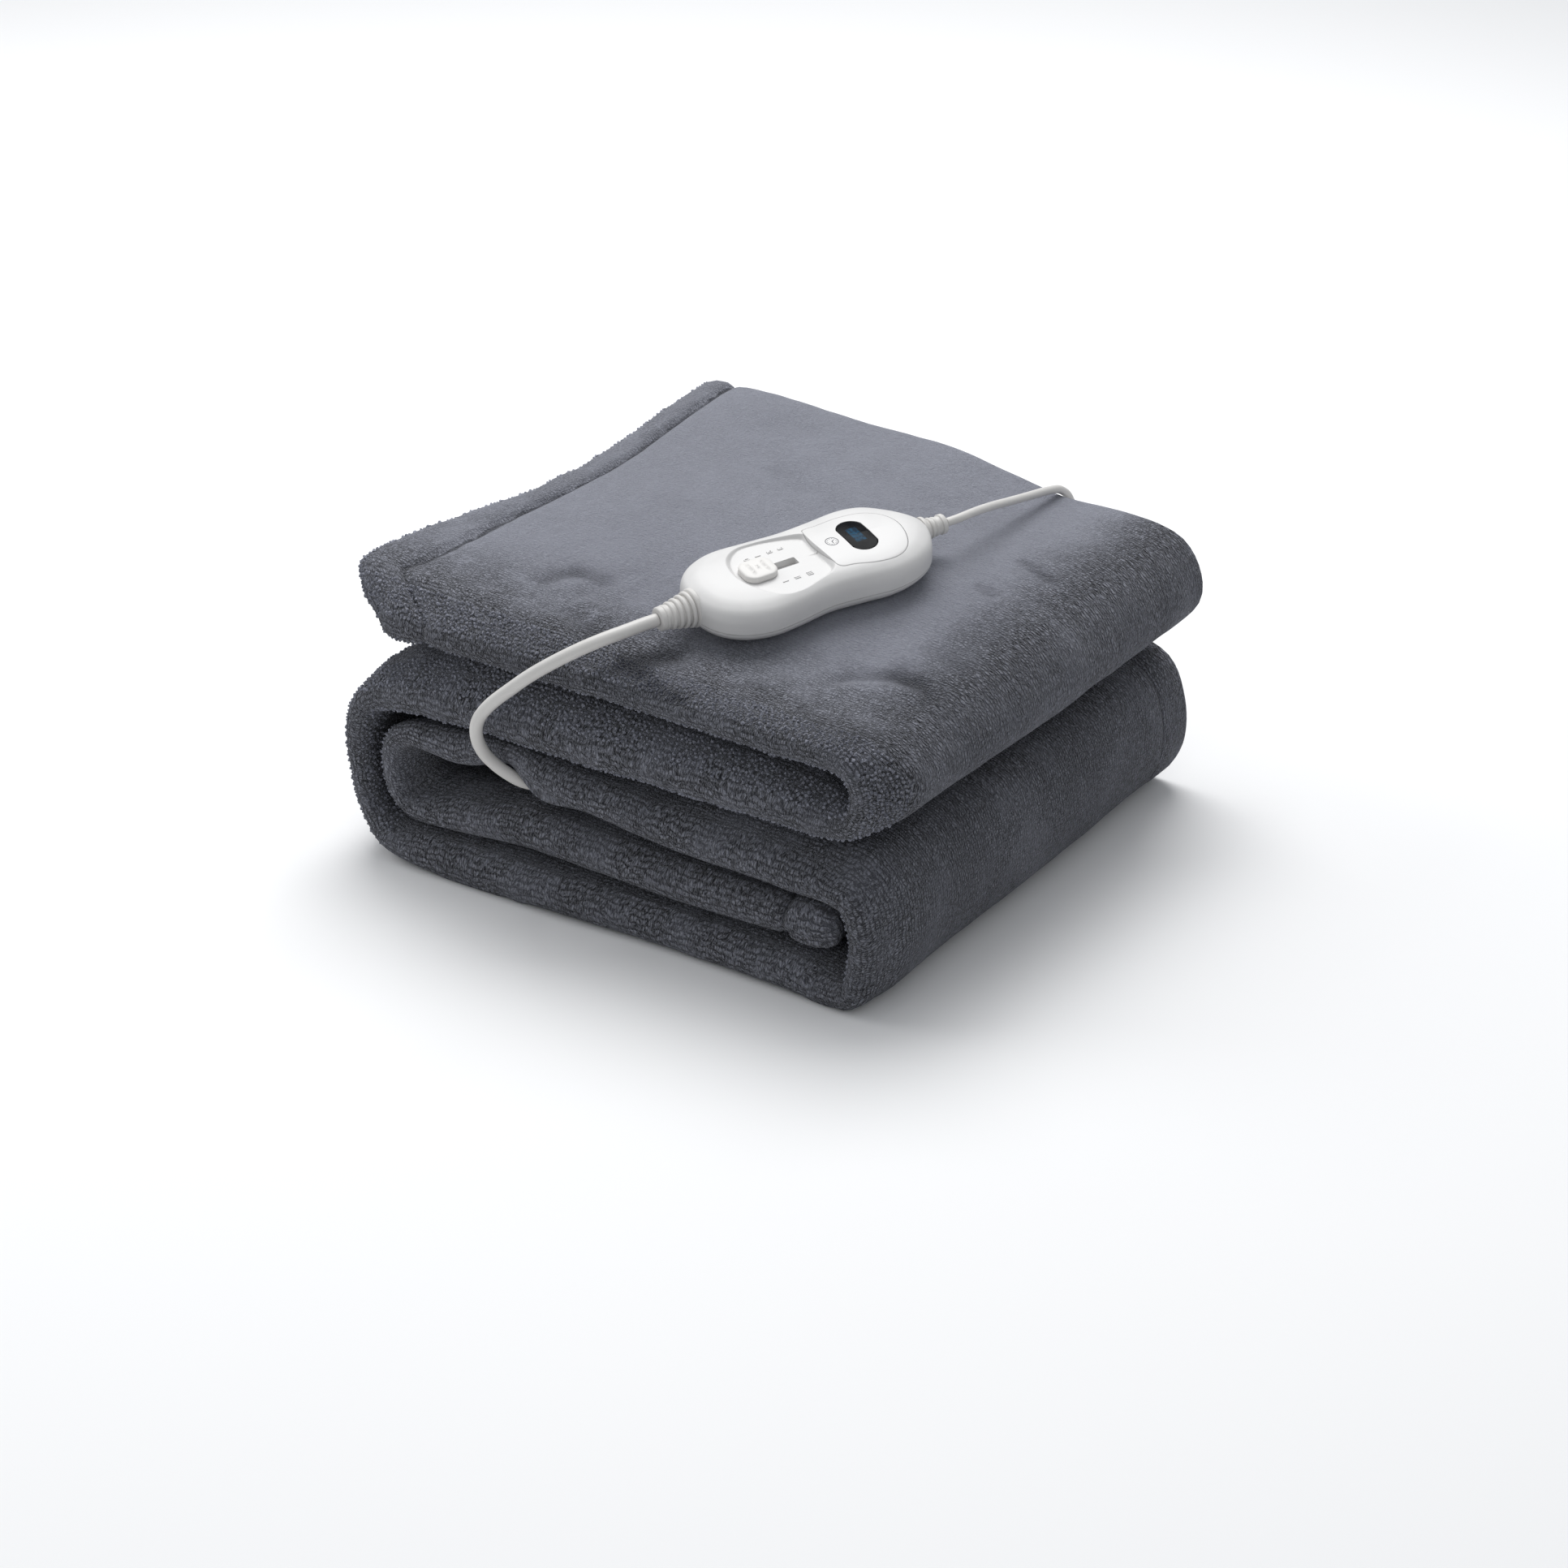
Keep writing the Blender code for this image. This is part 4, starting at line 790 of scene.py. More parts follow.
# ------------------------------------------------------------------ camera, floor and light
def add_camera():
    turn, rise = math.radians(CAMERA_TURN), math.radians(CAMERA_RISE)
    back = Vector((math.sin(turn) * math.cos(rise), -math.cos(turn) * math.cos(rise),
                   math.sin(rise)))
    right = Vector((math.cos(turn), math.sin(turn), 0.0))
    up = back.cross(right)
    pixels = CAMERA_LENS / 36.0 * PICTURE
    beside = (SIGHT_PIXEL[0] - PICTURE / 2) / pixels * CAMERA_AWAY
    above = -(SIGHT_PIXEL[1] - PICTURE / 2) / pixels * CAMERA_AWAY
    data = bpy.data.cameras.new("camera")
    data.lens = CAMERA_LENS
    data.sensor_width = 36.0
    data.clip_start, data.clip_end = 0.05, 50.0
    camera = bpy.data.objects.new("camera", data)
    bpy.context.scene.collection.objects.link(camera)
    place = Vector(SIGHT_POINT) - (right * beside + up * above - back * CAMERA_AWAY)
    facing = Matrix((right, up, back)).transposed().to_4x4()
    camera.matrix_world = Matrix.Translation(place) @ facing
    bpy.context.scene.camera = camera


def add_floor():
    data = new_mesh("floor", [(-9, -9, 0), (9, -9, 0), (9, 9, 0), (-9, 9, 0)], [(0, 1, 2, 3)])
    material, p, shader = new_material("pale_floor")
    place = p.node("ShaderNodeTexCoord").outputs["Object"]
    tone = p.node("ShaderNodeTexNoise", Vector=place, Scale=1.3, Detail=2.0)
    p.feed(shader, "Base Color", p.blend(tone.outputs[0], (0.86, 0.86, 0.865, 1.0),
                                         (0.89, 0.89, 0.89, 1.0)))
    shader.inputs["Roughness"].default_value = 0.9
    shader.inputs["Specular IOR Level"].default_value = 0.1
    show("floor", data, material)


def add_light(name, place, aim, size, power, colour=(1.0, 1.0, 1.0)):
    data = bpy.data.lights.new(name, "AREA")
    data.shape = "RECTANGLE"
    data.size, data.size_y = size
    data.energy = power
    data.color = colour
    light = bpy.data.objects.new(name, data)
    bpy.context.scene.collection.objects.link(light)
    light.location = place
    light.rotation_euler = (Vector(aim) - Vector(place)).to_track_quat("-Z", "Y").to_euler()


def add_lights():
    world = bpy.data.worlds.new("studio")
    bpy.context.scene.world = world
    world.use_nodes = True
    world.node_tree.nodes["Background"].inputs[0].default_value = (0.93, 0.96, 1.0, 1.0)
    world.node_tree.nodes["Background"].inputs[1].default_value = 0.42
    add_light("overhead_softbox", (-0.55, 0.75, 2.1), (0.0, 0.0, 0.1), (1.7, 1.5), 49.0)
    add_light("side_softbox", (-1.9, -0.5, 1.3), (0.0, 0.0, 0.12), (1.2, 1.2), 11.0)
    add_light("front_fill", (1.3, -1.9, 1.4), (0.0, 0.0, 0.1), (1.6, 1.6), 6.0)
    bpy.context.scene.view_settings.view_transform = "Standard"


# ------------------------------------------------------------------ cords
def cord_curve(name, points, diameter, material):
    """Round cord along the points, one open spline in the row frame."""
    data = bpy.data.curves.new(name, "CURVE")
    data.dimensions = "3D"
    data.bevel_depth = diameter / 2 * MM
    data.bevel_resolution = 4
    data.use_fill_caps = True
    spline = data.splines.new("POLY")
    spline.points.add(len(points) - 1)
    for knot, point in zip(spline.points, in_row_frame(points)):
        knot.co = (*point, 1.0)
    spline.use_smooth = True
    piece = bpy.data.objects.new(name, data)
    bpy.context.scene.collection.objects.link(piece)
    data.materials.append(material)
    return piece


def coil_points():
    """Turns of the stored lead, clockwise: three rows that pass from the outside in and back."""
    apart = MAINS_DIAMETER + COIL_PLAY
    rise = apart * math.sqrt(3) / 2
    places = [(1, 0), (0, 0), (-1, 0), (-0.5, 1), (0.5, 1), (1, 2), (0, 2), (-0.85, 2)]
    places = np.array([(COIL_RADIUS + a * apart, COIL_LOW + b * rise) for a, b in places])
    turns = np.linspace(0.0, COIL_TURNS, round(COIL_TURNS * COIL_STEPS))
    radius = mix(places[0, 0], COIL_REACH, 1.0 - eased(turns, *COIL_JOIN))
    height = np.full(turns.shape, places[0, 1])
    for i, middle in enumerate(COIL_CROSSINGS):
        share = smooth((turns - middle) / COIL_CROSSING_WIDTH + 0.5)
        radius += (places[i + 1, 0] - places[i, 0]) * share
        height += (places[i + 1, 1] - places[i, 1]) * share
    left = turns - COIL_TURNS
    leaving, climbing, descending = (smooth((left + at) / span + 1.0)
                                     for at, span in (COIL_LEAVE, COIL_CLIMB, COIL_DESCENT))
    radius += (COIL_REACH - places[-1, 0]) * leaving
    height += COIL_OVER * climbing
    end = TAIL_ROUTE[0][2] + COIL_TAIL_RISE
    height += (end - places[-1, 1] - COIL_OVER) * descending
    angle = -math.pi / 2 - 2 * math.pi * turns
    return np.stack([COIL_AT[0] + radius * np.cos(angle), COIL_AT[1] + radius * np.sin(angle),
                     height], 1)


def build_cords(cable):
    """Both leads, and the length of each in metres."""
    lead_points = smooth_route(LEAD_ROUTE, CORD_SPACING[0])
    lead = cord_curve("lead_to_blanket", lead_points, LEAD_DIAMETER, cable)
    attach(lead, MAIN)
    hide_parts("blanket_lead")
    route = np.concatenate([np.array(MAINS_ROUTE), coil_points(), np.array(TAIL_ROUTE)])
    points = smooth_route(route, CORD_SPACING[1])
    mains = cord_curve("mains_cord", points, MAINS_DIAMETER, cable)
    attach(mains, MAIN)
    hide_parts("mains_lead", "mains_coil", "mains_tail")
    return lead, mains, knots(lead_points)[-1] * MM, knots(points)[-1] * MM


# ------------------------------------------------------------------ the cloth
class Strip:
    """Centre line, thickness and rise of the strip at any length u and depth y."""

    def __init__(self):
        self.at = knots([(b.bx, b.bz) for b in PATH])
        self.length = self.at[-1]

    def row(self, name):
        """Length at which a row of the path lies."""
        return self.at[[b.name for b in PATH].index(name)]

    def column(self, field, u):
        """One field of the path's rows at the lengths u."""
        return smooth_curve(self.at, [getattr(b, field) for b in PATH],
                            np.clip(u, 0.0, self.length))

    def at_depth(self, u, y):
        """Place across, height and thickness of the strip."""
        body = smooth(y / NOSE)
        to_mid = smooth((y - RISE_FROM) / (RISE_TO - RISE_FROM))
        to_back = smooth((y - RISE_TO) / (STRIP_WIDTH - RISE_TO))
        mid, back = self.column("mid", u), self.column("back", u)
        rise = mid * to_mid + (back - mid) * to_back
        x = mix(self.column("fx", u), self.column("bx", u), body)
        x = x + self.column("shift", u) * to_mid
        z = mix(self.column("fz", u), self.column("bz", u), body)
        thick = mix(self.column("ft", u), self.column("bt", u), body)
        return x, z + rise * (1 - RISE_SHARE / 2), thick + rise * RISE_SHARE

    def normal(self, u, y):
        """Direction across the strip's thickness."""
        x0, z0, _ = self.at_depth(np.maximum(u - 0.5, 0.0), y)
        x1, z1, _ = self.at_depth(np.minimum(u + 0.5, self.length), y)
        dx, dz = x1 - x0, z1 - z0
        size = np.hypot(dx, dz)
        return -dz / size, dx / size

    def stations(self):
        """Lengths at which the cloth has a ring of points, closer together in the hems."""
        hem = [reach for reach, _ in HEM_PROFILE]
        found = [reach * 1.13 for reach in hem] + [44.2, 46.6]
        for row, start, end in zip(PATH, self.at, self.at[1:]):
            steps = max(1, round((end - start) / (row.step * 1.2)))
            for i in range(steps):
                u = mix(start, end, i / steps)
                if found[-1] + 1.2 < u < self.length - hem[-1] - 2.0:
                    found.append(u)
        found += [self.length - reach for reach in reversed(hem)]
        return np.array(found)


def section_rows():
    """Middle line of the four layers across the strip, from the outer layer's hem round to the
    inner layer's hem: layer place, depth, share of the front pitch in the depth, half thickness,
    and how finely each face is drawn (0 skips the row on the face inside the folds)."""
    half = SHEET / 2
    edge = STRIP_WIDTH
    hem = list(enumerate(SIDE_HEM))
    rows = [(-1.5, edge - d, 0.0, h, i % 2 == 0) for i, (d, h) in hem]
    for y in list(np.arange(290.0, 60.0, -13.0)) + list(np.arange(60.0, 13.0, -4.2)):
        rows.append((-1.5, y, 0.0, half, round(y) % 2 == 0))
    for degrees in range(0, 181, 15):
        turn = math.radians(degrees)
        rows.append((-1.5 * math.cos(turn), half, 1.5 * (1 - math.sin(turn)), half,
                     degrees % 30 == 0))
    for i, y in enumerate(list(np.arange(12.6, 60.0, 3.6)) + list(np.arange(62.0, 312.0, 5.2))):
        rows.append((1.5, y, 0.0, half, i % 4 == 0))
    for degrees in range(0, 181, 30):
        turn = math.radians(degrees)
        rows.append((1.0 + 0.5 * math.cos(turn), edge - 9.5 + 7.0 * math.sin(turn), 0.0, half,
                     True))
    for y in (300.0,) + INNER_DEPTHS[::-1]:
        rows.append((0.5, y, 0.0, half, y in INNER_DRAWN))
    front = SHEET + NEST + half
    for degrees in range(0, 181, 30):
        turn = math.radians(degrees)
        rows.append((0.5 * math.cos(turn), front, 0.5 * (1 - math.sin(turn)), half, True))
    for y in INNER_DEPTHS + (295.0,):
        rows.append((-0.5, y, 0.0, half, y in INNER_DRAWN))
    rows += [(-0.5, edge - 5.0 - d, 0.0, h, i % 2 == 0) for i, (d, h) in reversed(hem)]
    return np.array(rows, float)


def noise_at(points, size, seed, octaves=2):
    """Soft seeded noise from -1 to 1, size millimetres from hill to hill."""
    shift = Vector((seed * 17.31, seed * 5.7, seed * 9.13))
    made = np.zeros(len(points))
    for octave in range(octaves):
        scale = 2.0 ** octave / size
        made += np.array([noise.noise(Vector(p) * scale + shift) for p in points]) / 2.0 ** octave
    return made


# creases of the top: where they run (mm in the row frame), width, height, painted shade (-) or
# highlight (+)
CREASES = (
    (((-86, -113), (-82, -97), (-72, -86), (-57, -84), (-45, -92)), 7, -1.6, -0.22),
    (((-72, -112), (-66, -100), (-55, -96)), 9, 1.6, 0.06),
    (((-53, -105), (-26, -119), (-11, -134)), 6, 1.8, -0.06),
    (((-60, -118), (-34, -128), (-14, -142)), 6, -1.6, -0.22),
    (((-5, -148), (9, -145), (16, -134), (28, -120)), 9, -2.2, -0.28),
    (((-20, -162), (3, -160), (30, -160), (50, -158)), 6, 1.6, 0.0),
    (((7, -150), (34, -157), (57, -160)), 5, -1.8, -0.2),
    (((103, -107), (113, -91), (132, -82), (155, -78)), 6, -1.8, -0.24),
    (((108, -115), (120, -100), (140, -92), (160, -88)), 7, 1.8, 0.04),
    (((121, -71), (146, -79), (173, -90)), 6, -1.6, -0.2),
    (((128, -42), (153, -50), (178, -57)), 5, -1.0, -0.08),
    (((121, 65), (139, 61), (154, 54)), 4, -1.4, -0.3),
    (((119, 24), (138, 18)), 5, -0.8, -0.2),
    (((-54, 82), (-29, 65), (-9, 47)), 12, -1.2, -0.06),
)


def stroke_distance(points, line):
    """Distance of points from a line of points, and how far along it the nearest place is."""
    line = np.array(line, float)
    best, share = np.full(len(points), 1e9), np.zeros(len(points))
    total = knots(line)
    for i in range(len(line) - 1):
        a, b = line[i], line[i + 1]
        d = b - a
        t = np.clip(((points - a) @ d) / (d @ d), 0.0, 1.0)
        away = np.sqrt(((points - a - t[:, None] * d) ** 2).sum(1))
        near = away < best
        best = np.where(near, away, best)
        share = np.where(near, (total[i] + t * (total[i + 1] - total[i])) / total[-1], share)
    return best, share


def pile_tufts_tree():
    """Geometry tree: small blunt tufts of pile, spread evenly over the carrier's faces."""
    tree, p, given = geometry_tree("pile_tufts", (
        ("Carrier", "Geometry", None), ("Spacing", "Float", 0.0021), ("Most", "Float", 900000.0),
        ("Width", "Float", 0.0012), ("Tip Width", "Float", 0.0005), ("Height", "Float", 0.0013),
        ("Lean", "Float", 0.5), ("Seed", "Int", 4), ("Look", "Material", None)))
    spread = p.node("GeometryNodeDistributePointsOnFaces", {"distribute_method": "POISSON"},
                    Mesh=given["Carrier"], Distance_Min=given["Spacing"],
                    Density_Max=given["Most"], Seed=given["Seed"])
    spike = p.node("GeometryNodeMeshCone", {"fill_type": "NGON"}, Vertices=4,
                   Radius_Top=given["Tip Width"], Radius_Bottom=given["Width"],
                   Depth=given["Height"])
    lean = p.node("FunctionNodeRandomValue", {"data_type": "FLOAT_VECTOR"})
    tip = p.sum("MULTIPLY", given["Lean"], -1.0)
    p.feed(lean, "0", p.node("ShaderNodeCombineXYZ", X=tip, Y=tip, Z=-3.14).outputs[0])
    p.feed(lean, "1", p.node("ShaderNodeCombineXYZ", X=given["Lean"], Y=given["Lean"],
                             Z=3.14).outputs[0])
    p.feed(lean, "Seed", given["Seed"])
    turned = p.node("FunctionNodeRotateRotation", {"rotation_space": "LOCAL"})
    p.feed(turned, "0", spread.outputs["Rotation"])
    p.feed(turned, "1", p.node("FunctionNodeEulerToRotation", Euler=lean.outputs[0]).outputs[0])
    size = p.node("FunctionNodeRandomValue", {"data_type": "FLOAT"})
    p.feed(size, "2", 0.6)
    p.feed(size, "3", 1.25)
    p.feed(size, "Seed", p.sum("ADD", given["Seed"], 1.0))
    put = p.node("GeometryNodeInstanceOnPoints", Points=spread.outputs["Points"],
                 Instance=spike.outputs[0], Rotation=turned.outputs[0], Scale=size.outputs[1])
    end_tree(p, put.outputs[0], given["Look"])
    return tree


class FoldedCloth:
    """Skin of the folded cloth: rings of points along the strip, and what lies at each point."""

    def __init__(self):
        strip = Strip()
        place, depth_at, pitch_share, half, keep = section_rows().T
        back = np.nonzero(keep > 0.5)[0][::-1]
        u = strip.stations()[:, None]
        pitch = (strip.column("ft", u) - SHEET) / (LAYERS - 1)
        depth = depth_at + pitch_share * pitch
        from_end = np.minimum(u, strip.length - u)
        seam_at = np.where(u < strip.length / 2, np.interp(depth, *zip(*TOP_HEM)), HEM_DEPTH)
        hem = from_end * HEM_DEPTH / seam_at
        middle, sideways, run = self.middle_sheet(strip, u, place, depth, from_end)
        reach = half * np.interp(hem, *zip(*HEM_PROFILE), right=CLOTH_SHARE)
        across = sideways * reach[..., None]
        grid = np.concatenate([middle + across, (middle - across)[:, back]], 1)
        self.strip = strip
        self.stations, self.around = grid.shape[:2]
        self.points = grid.reshape(-1, 3)
        self.flat = self.points - np.array(ORIGIN)

        def over_skin(values):
            return np.broadcast_to(values, (self.stations, self.around)).reshape(-1)

        def both_faces(values):
            return over_skin(np.concatenate([values, values[..., back]], -1))

        self.along = over_skin(u)
        across_uv = np.concatenate([run, run[back] + INNER_PATTERN])
        self.uv = np.stack([self.along, over_skin(across_uv)], -1)
        outside = np.concatenate([np.abs(place) > 0.9, np.zeros(len(back), bool)])
        self.skin = over_skin(outside).astype(float)
        self.deep = both_faces(depth)
        self.end = both_faces(hem)
        side_seam = np.where(place < -0.9, STRIP_WIDTH - HEM_DEPTH - depth_at, NO_SEAM)
        self.side_seam = both_faces(side_seam)
        self.upper = (self.along < strip.row("AB shoulder")) & (self.flat[:, 2] > TOP_FROM)
        turned = eased(self.along - strip.row("AB shoulder"), *TOP_TURN)
        self.top = self.upper * (1.0 - turned)

    def middle_sheet(self, strip, u, place, depth, from_end):
        """Middle of the layers, the way across them, and how far round the section each row is."""
        wide = np.broadcast_to(u, depth.shape)
        x, z, thick = strip.at_depth(wide, depth)
        nx, nz = strip.normal(wide, depth)
        closed = np.sqrt(1.0 - np.clip(1.0 - from_end / END_ROUND, 0.0, 1.0) ** 2)
        offset = place * (thick - SHEET) / (LAYERS - 1) * mix(END_SHARE, 1.0, closed)
        y = depth + strip.column("nose", wide) * (1 - smooth(depth / STRIP_WIDTH))
        along, back = END_CORNER_REACH
        y = y + END_CORNER * (1 - smooth(from_end / along)) * (1 - smooth(depth / back))
        to_x = np.gradient(offset, axis=1)
        to_y = np.gradient(y, axis=1)
        size = np.hypot(to_x, to_y)
        to_x, to_y = to_x / size, to_y / size
        half_way = len(u) // 2
        run = np.cumsum(np.hypot(np.diff(offset[half_way]), np.diff(y[half_way])))
        return (np.stack([x + nx * offset, y, z + nz * offset], -1),
                np.stack([nx * to_y, -to_x, nz * to_y], -1), np.concatenate(([0.0], run)))

    def mesh(self, name):
        """Mesh of the skin as it is before its relief; its normals are kept for the relief."""
        data = closed_grid(name, in_row_frame(self.points), self.stations, self.around)
        faces_out(data, merge=False)
        normals = np.zeros(len(data.vertices) * 3, np.float32)
        data.vertices.foreach_get("normal", normals)
        self.normals = normals.reshape(-1, 3).astype(float)
        self.lying = eased(self.normals[:, 2], *LYING)
        return data

    def noise(self, size, seed, octaves=2):
        """Soft seeded noise over the flat cloth."""
        return noise_at(np.concatenate([self.uv, np.zeros((len(self.uv), 1))], 1), size, seed,
                        octaves)


def cloth_relief(cloth):
    """Waves of the cloth, its padded hems and their drawn-in seams."""
    lift = cloth.skin * sum(height * cloth.noise(*wave) for height, *wave in WAVES)
    band = eased(cloth.end, HEM_DEPTH - 0.6, -HEM_EASE) * smooth(cloth.end / HEM_EASE)
    height, *lumps = HEM_LUMPS
    lift += cloth.skin * band * (HEM_PADDING + height * cloth.noise(*lumps))
    seam = np.exp(-((cloth.end - HEM_DEPTH) / SEAM_WIDTH) ** 2)
    return lift - cloth.skin * seam * SEAM_SINK


def under_control(cloth):
    """Share of the relief that is left where the control rests on the cloth."""
    x, y = CONTROL_REST
    away = np.hypot(cloth.flat[:, 0] - x, (cloth.flat[:, 1] - y) * CONTROL_NARROWING)
    return 1.0 - CONTROL_CALM * (eased(away, *CONTROL_ROOM) * (cloth.normals[:, 2] > 0.3))


def graded(values, strength, start, span):
    """A strength that sets in past start, over span."""
    return strength * eased(values, start, span)


def painted_light_and_brush_marks(cloth):
    """How much lighter or darker the pile looks: painted light on the top and where it lies flat,
    painted shade on the front folds and right faces, and brush marks of the nap.
    """
    x = cloth.flat[:, 0]
    nap_and_painted_light = cloth.top * (graded(cloth.deep, *TOP_SHADE) + graded(cloth.deep, *TOP_REAR_SHADE))
    marks = eased(cloth.noise(*BRUSH_MARKS), *MARKS_EDGE)
    nap_and_painted_light -= (MARKS_SHADE * marks * cloth.upper * eased(cloth.deep, *MARKS_FRONT)
            * eased(cloth.deep, *MARKS_REAR))
    nap_and_painted_light += cloth.top * cloth.lying * (graded(cloth.deep, *LYING_SHADE)
                                      + graded(x, *LYING_RIGHT_SHADE)
                                      + graded(x, *LYING_LEFT_SHADE))
    nap_and_painted_light -= mix(*FRONT_SHADE, cloth.upper) * (1.0 - eased(cloth.deep, *FRONT_REACH))
    return nap_and_painted_light + RIGHT_FACE_SHADE * eased(cloth.normals[:, 0], *SIDEWAYS)


def rib_depth(cloth):
    """How deep the ribs of the pile are drawn."""
    ribbing = mix(1.0, RIBS_TOP, cloth.top * eased(cloth.deep, *RIBS_TOP_REACH))
    sideways = eased(np.abs(cloth.normals[:, 0]), *SIDEWAYS)
    ribbing = mix(ribbing, RIBS_SIDE, sideways * eased(cloth.deep, *RIBS_SIDE_REACH))
    return np.where(cloth.end < HEM_DEPTH, np.maximum(ribbing, RIBS_HEM), ribbing)


def seam_distance(cloth):
    """Distance to the nearest row of stitches, below 0 on the cut edge's side of an end."""
    end_seam = cloth.end - HEM_DEPTH
    return np.where(np.abs(cloth.side_seam) < np.abs(end_seam), cloth.side_seam, end_seam)


def crease_shapes(cloth):
    """Height and painted shade or highlight of each crease, and its weight over the cloth."""
    seen = cloth.upper & (cloth.normals[:, 2] > 0.2)
    for line, width, height, shade in CREASES:
        away, along = stroke_distance(cloth.flat[:, :2], line)
        fade = smooth(along / 0.2) * smooth((1.0 - along) / 0.2)
        yield height, shade, np.exp(-(away / width) ** 2) * fade * cloth.skin * seen


def settled(cloth, lift):
    """The cloth's points with their relief: the lip over the lead hangs, the foot lies flat."""
    moved = cloth.points + cloth.normals * lift[:, None]
    low, high = LIP_LAYER
    z = cloth.flat[:, 2]
    lip = (cloth.skin * (cloth.deep < LIP_DEPTH) * (z > low) * smooth((high - z) / 5.0)
           * (z < high) * eased(moved[:, 1], *LIP_FRONT)
           * np.exp(-((moved[:, 0] - LEAD_TUCK) / LIP_WIDTH) ** 2))
    moved[:, 2] -= LIP_DROP * lip
    moved[:, 2] = np.where(moved[:, 2] < SEAT, 0.0, moved[:, 2])
    return moved


def tufted_faces(cloth, data, moved):
    """Faces of the cloth where the pile shows against what is behind it."""
    cords = np.concatenate([np.array(LEAD_ROUTE), np.array(MAINS_ROUTE)])
    away = np.full(len(moved), 1e9)
    for start, stop in zip(cords, cords[1:]):
        for share in (0.0, 0.25, 0.5, 0.75):
            away = np.minimum(away, np.linalg.norm(moved - mix(start, stop, share), axis=1))
    clear = (cloth.skin > 0.5) & (away > TUFT_CORD_ROOM) & (moved[:, 2] > TUFT_LOWEST)
    front = (cloth.deep < TUFT_FRONT_DEPTH) & (cloth.along < cloth.strip.row("BE heel"))
    left = (cloth.deep < TUFT_LEFT_DEPTH) & (cloth.normals[:, 0] < -0.5)
    furry = clear & (front | (cloth.upper & (cloth.end < TUFT_HEM_REACH)) | left)
    rings = [tuple(face.vertices) for face in data.polygons]
    return [ring for ring in rings if len(ring) == 4 and furry[list(ring)].all()]


def build_tufts(points, faces, nap_and_painted_light, material):
    """Pile that stands up along the folds and hems."""
    carrier = new_mesh("tuft_carrier", in_row_frame(points), faces)
    # the tufts take the cloth's painted light and shade
    note(carrier, "nap_and_painted_light", nap_and_painted_light)
    tufts = run_tree("pile_tufts", pile_tufts_tree(), {"Look": material}, carrier)
    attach(tufts, MAIN)
    return tufts


def build_blanket(material, tuft_look):
    """The folded cloth with its relief, its pile and its tufts."""
    cloth = FoldedCloth()
    data = cloth.mesh("blanket_cloth")
    # painted light and shade of the cloth, with the brush marks of its nap
    lift, nap_and_painted_light = cloth_relief(cloth), painted_light_and_brush_marks(cloth)
    for height, shade, weight in crease_shapes(cloth):
        lift += height * weight
        # painted shade or highlight along the crease
        nap_and_painted_light += CREASE_SHADE * shade * weight
    moved = settled(cloth, lift * under_control(cloth))
    data.vertices.foreach_set("co", in_row_frame(moved).astype(np.float32).ravel())
    # the painted light and shade, with the brush marks, kept for the materials
    note(data, "nap_and_painted_light", nap_and_painted_light)
    note(data, "ribbing", rib_depth(cloth))
    note(data, "seam", seam_distance(cloth) * MM)
    corner = np.zeros(len(data.loops), np.int32)
    data.loops.foreach_get("vertex_index", corner)
    spread = (cloth.uv[corner] * MM).astype(np.float32)
    data.uv_layers.new(name="cloth").data.foreach_set("uv", spread.ravel())
    data.update()
    blanket = show("blanket_cloth", data, material, sharp=75.0)
    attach(blanket, MAIN)
    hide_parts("blanket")
    faces = tufted_faces(cloth, data, moved)
    tufts = build_tufts(moved - cloth.normals * TUFT_SINK, faces, nap_and_painted_light, tuft_look)


# ------------------------------------------------------------------ the control
def handset_matrix():
    return Matrix.Translation((HANDSET_AT - ORIGIN) * MM) @ HANDSET_TURN.to_matrix().to_4x4()


def ring_at(outline, inset):
    """The housing's outline where the wall has drawn in by inset."""
    middle = (outline[:, 1].max() + outline[:, 1].min()) / 2
    grow = np.array([1 - inset / OUTLINE_REACH[0], 1 - inset / OUTLINE_REACH[1]])
    return np.stack([outline[:, 0] * grow[0], middle + (outline[:, 1] - middle) * grow[1]], 1)


def wall_table(wall, step=0.35):
    """Inset and height along a wall's profile, drawn smooth and close together."""
    profile = np.array(wall, float)
    at = knots(profile)
    count = int(at[-1] / step)
    fine = smooth_curve(at, profile, at[-1] * np.arange(count + 1) / count)
    fine[:, 0] = np.maximum.accumulate(fine[:, 0])
    return fine


class Crown:
    """Height of the housing's top, before anything is sunk in it."""

    def __init__(self):
        self.outline = closed_outline(HOUSING_OUTLINE, 720)
        self.middle = (self.outline[:, 1].max() + self.outline[:, 1].min()) / 2
        turned = np.arctan2(self.outline[:, 1] - self.middle, self.outline[:, 0])
        order = np.argsort(turned)
        self.angle = turned[order]
        self.reach = np.hypot(self.outline[:, 0], self.outline[:, 1] - self.middle)[order]
        self.wall = wall_table(TOP_WALL, 0.2)

    def height(self, x, y):
        low, high = np.zeros(x.shape), np.full(x.shape, 33.4)
        for _ in range(36):
            half = (low + high) / 2
            px = x / (1 - half / OUTLINE_REACH[0])
            py = (y - self.middle) / (1 - half / OUTLINE_REACH[1])
            limit = np.interp(np.arctan2(py, px), self.angle, self.reach, period=2 * math.pi)
            inside = np.hypot(px, py) < limit
            low, high = np.where(inside, half, low), np.where(inside, high, half)
        return np.interp(low, self.wall[:, 0], self.wall[:, 1])


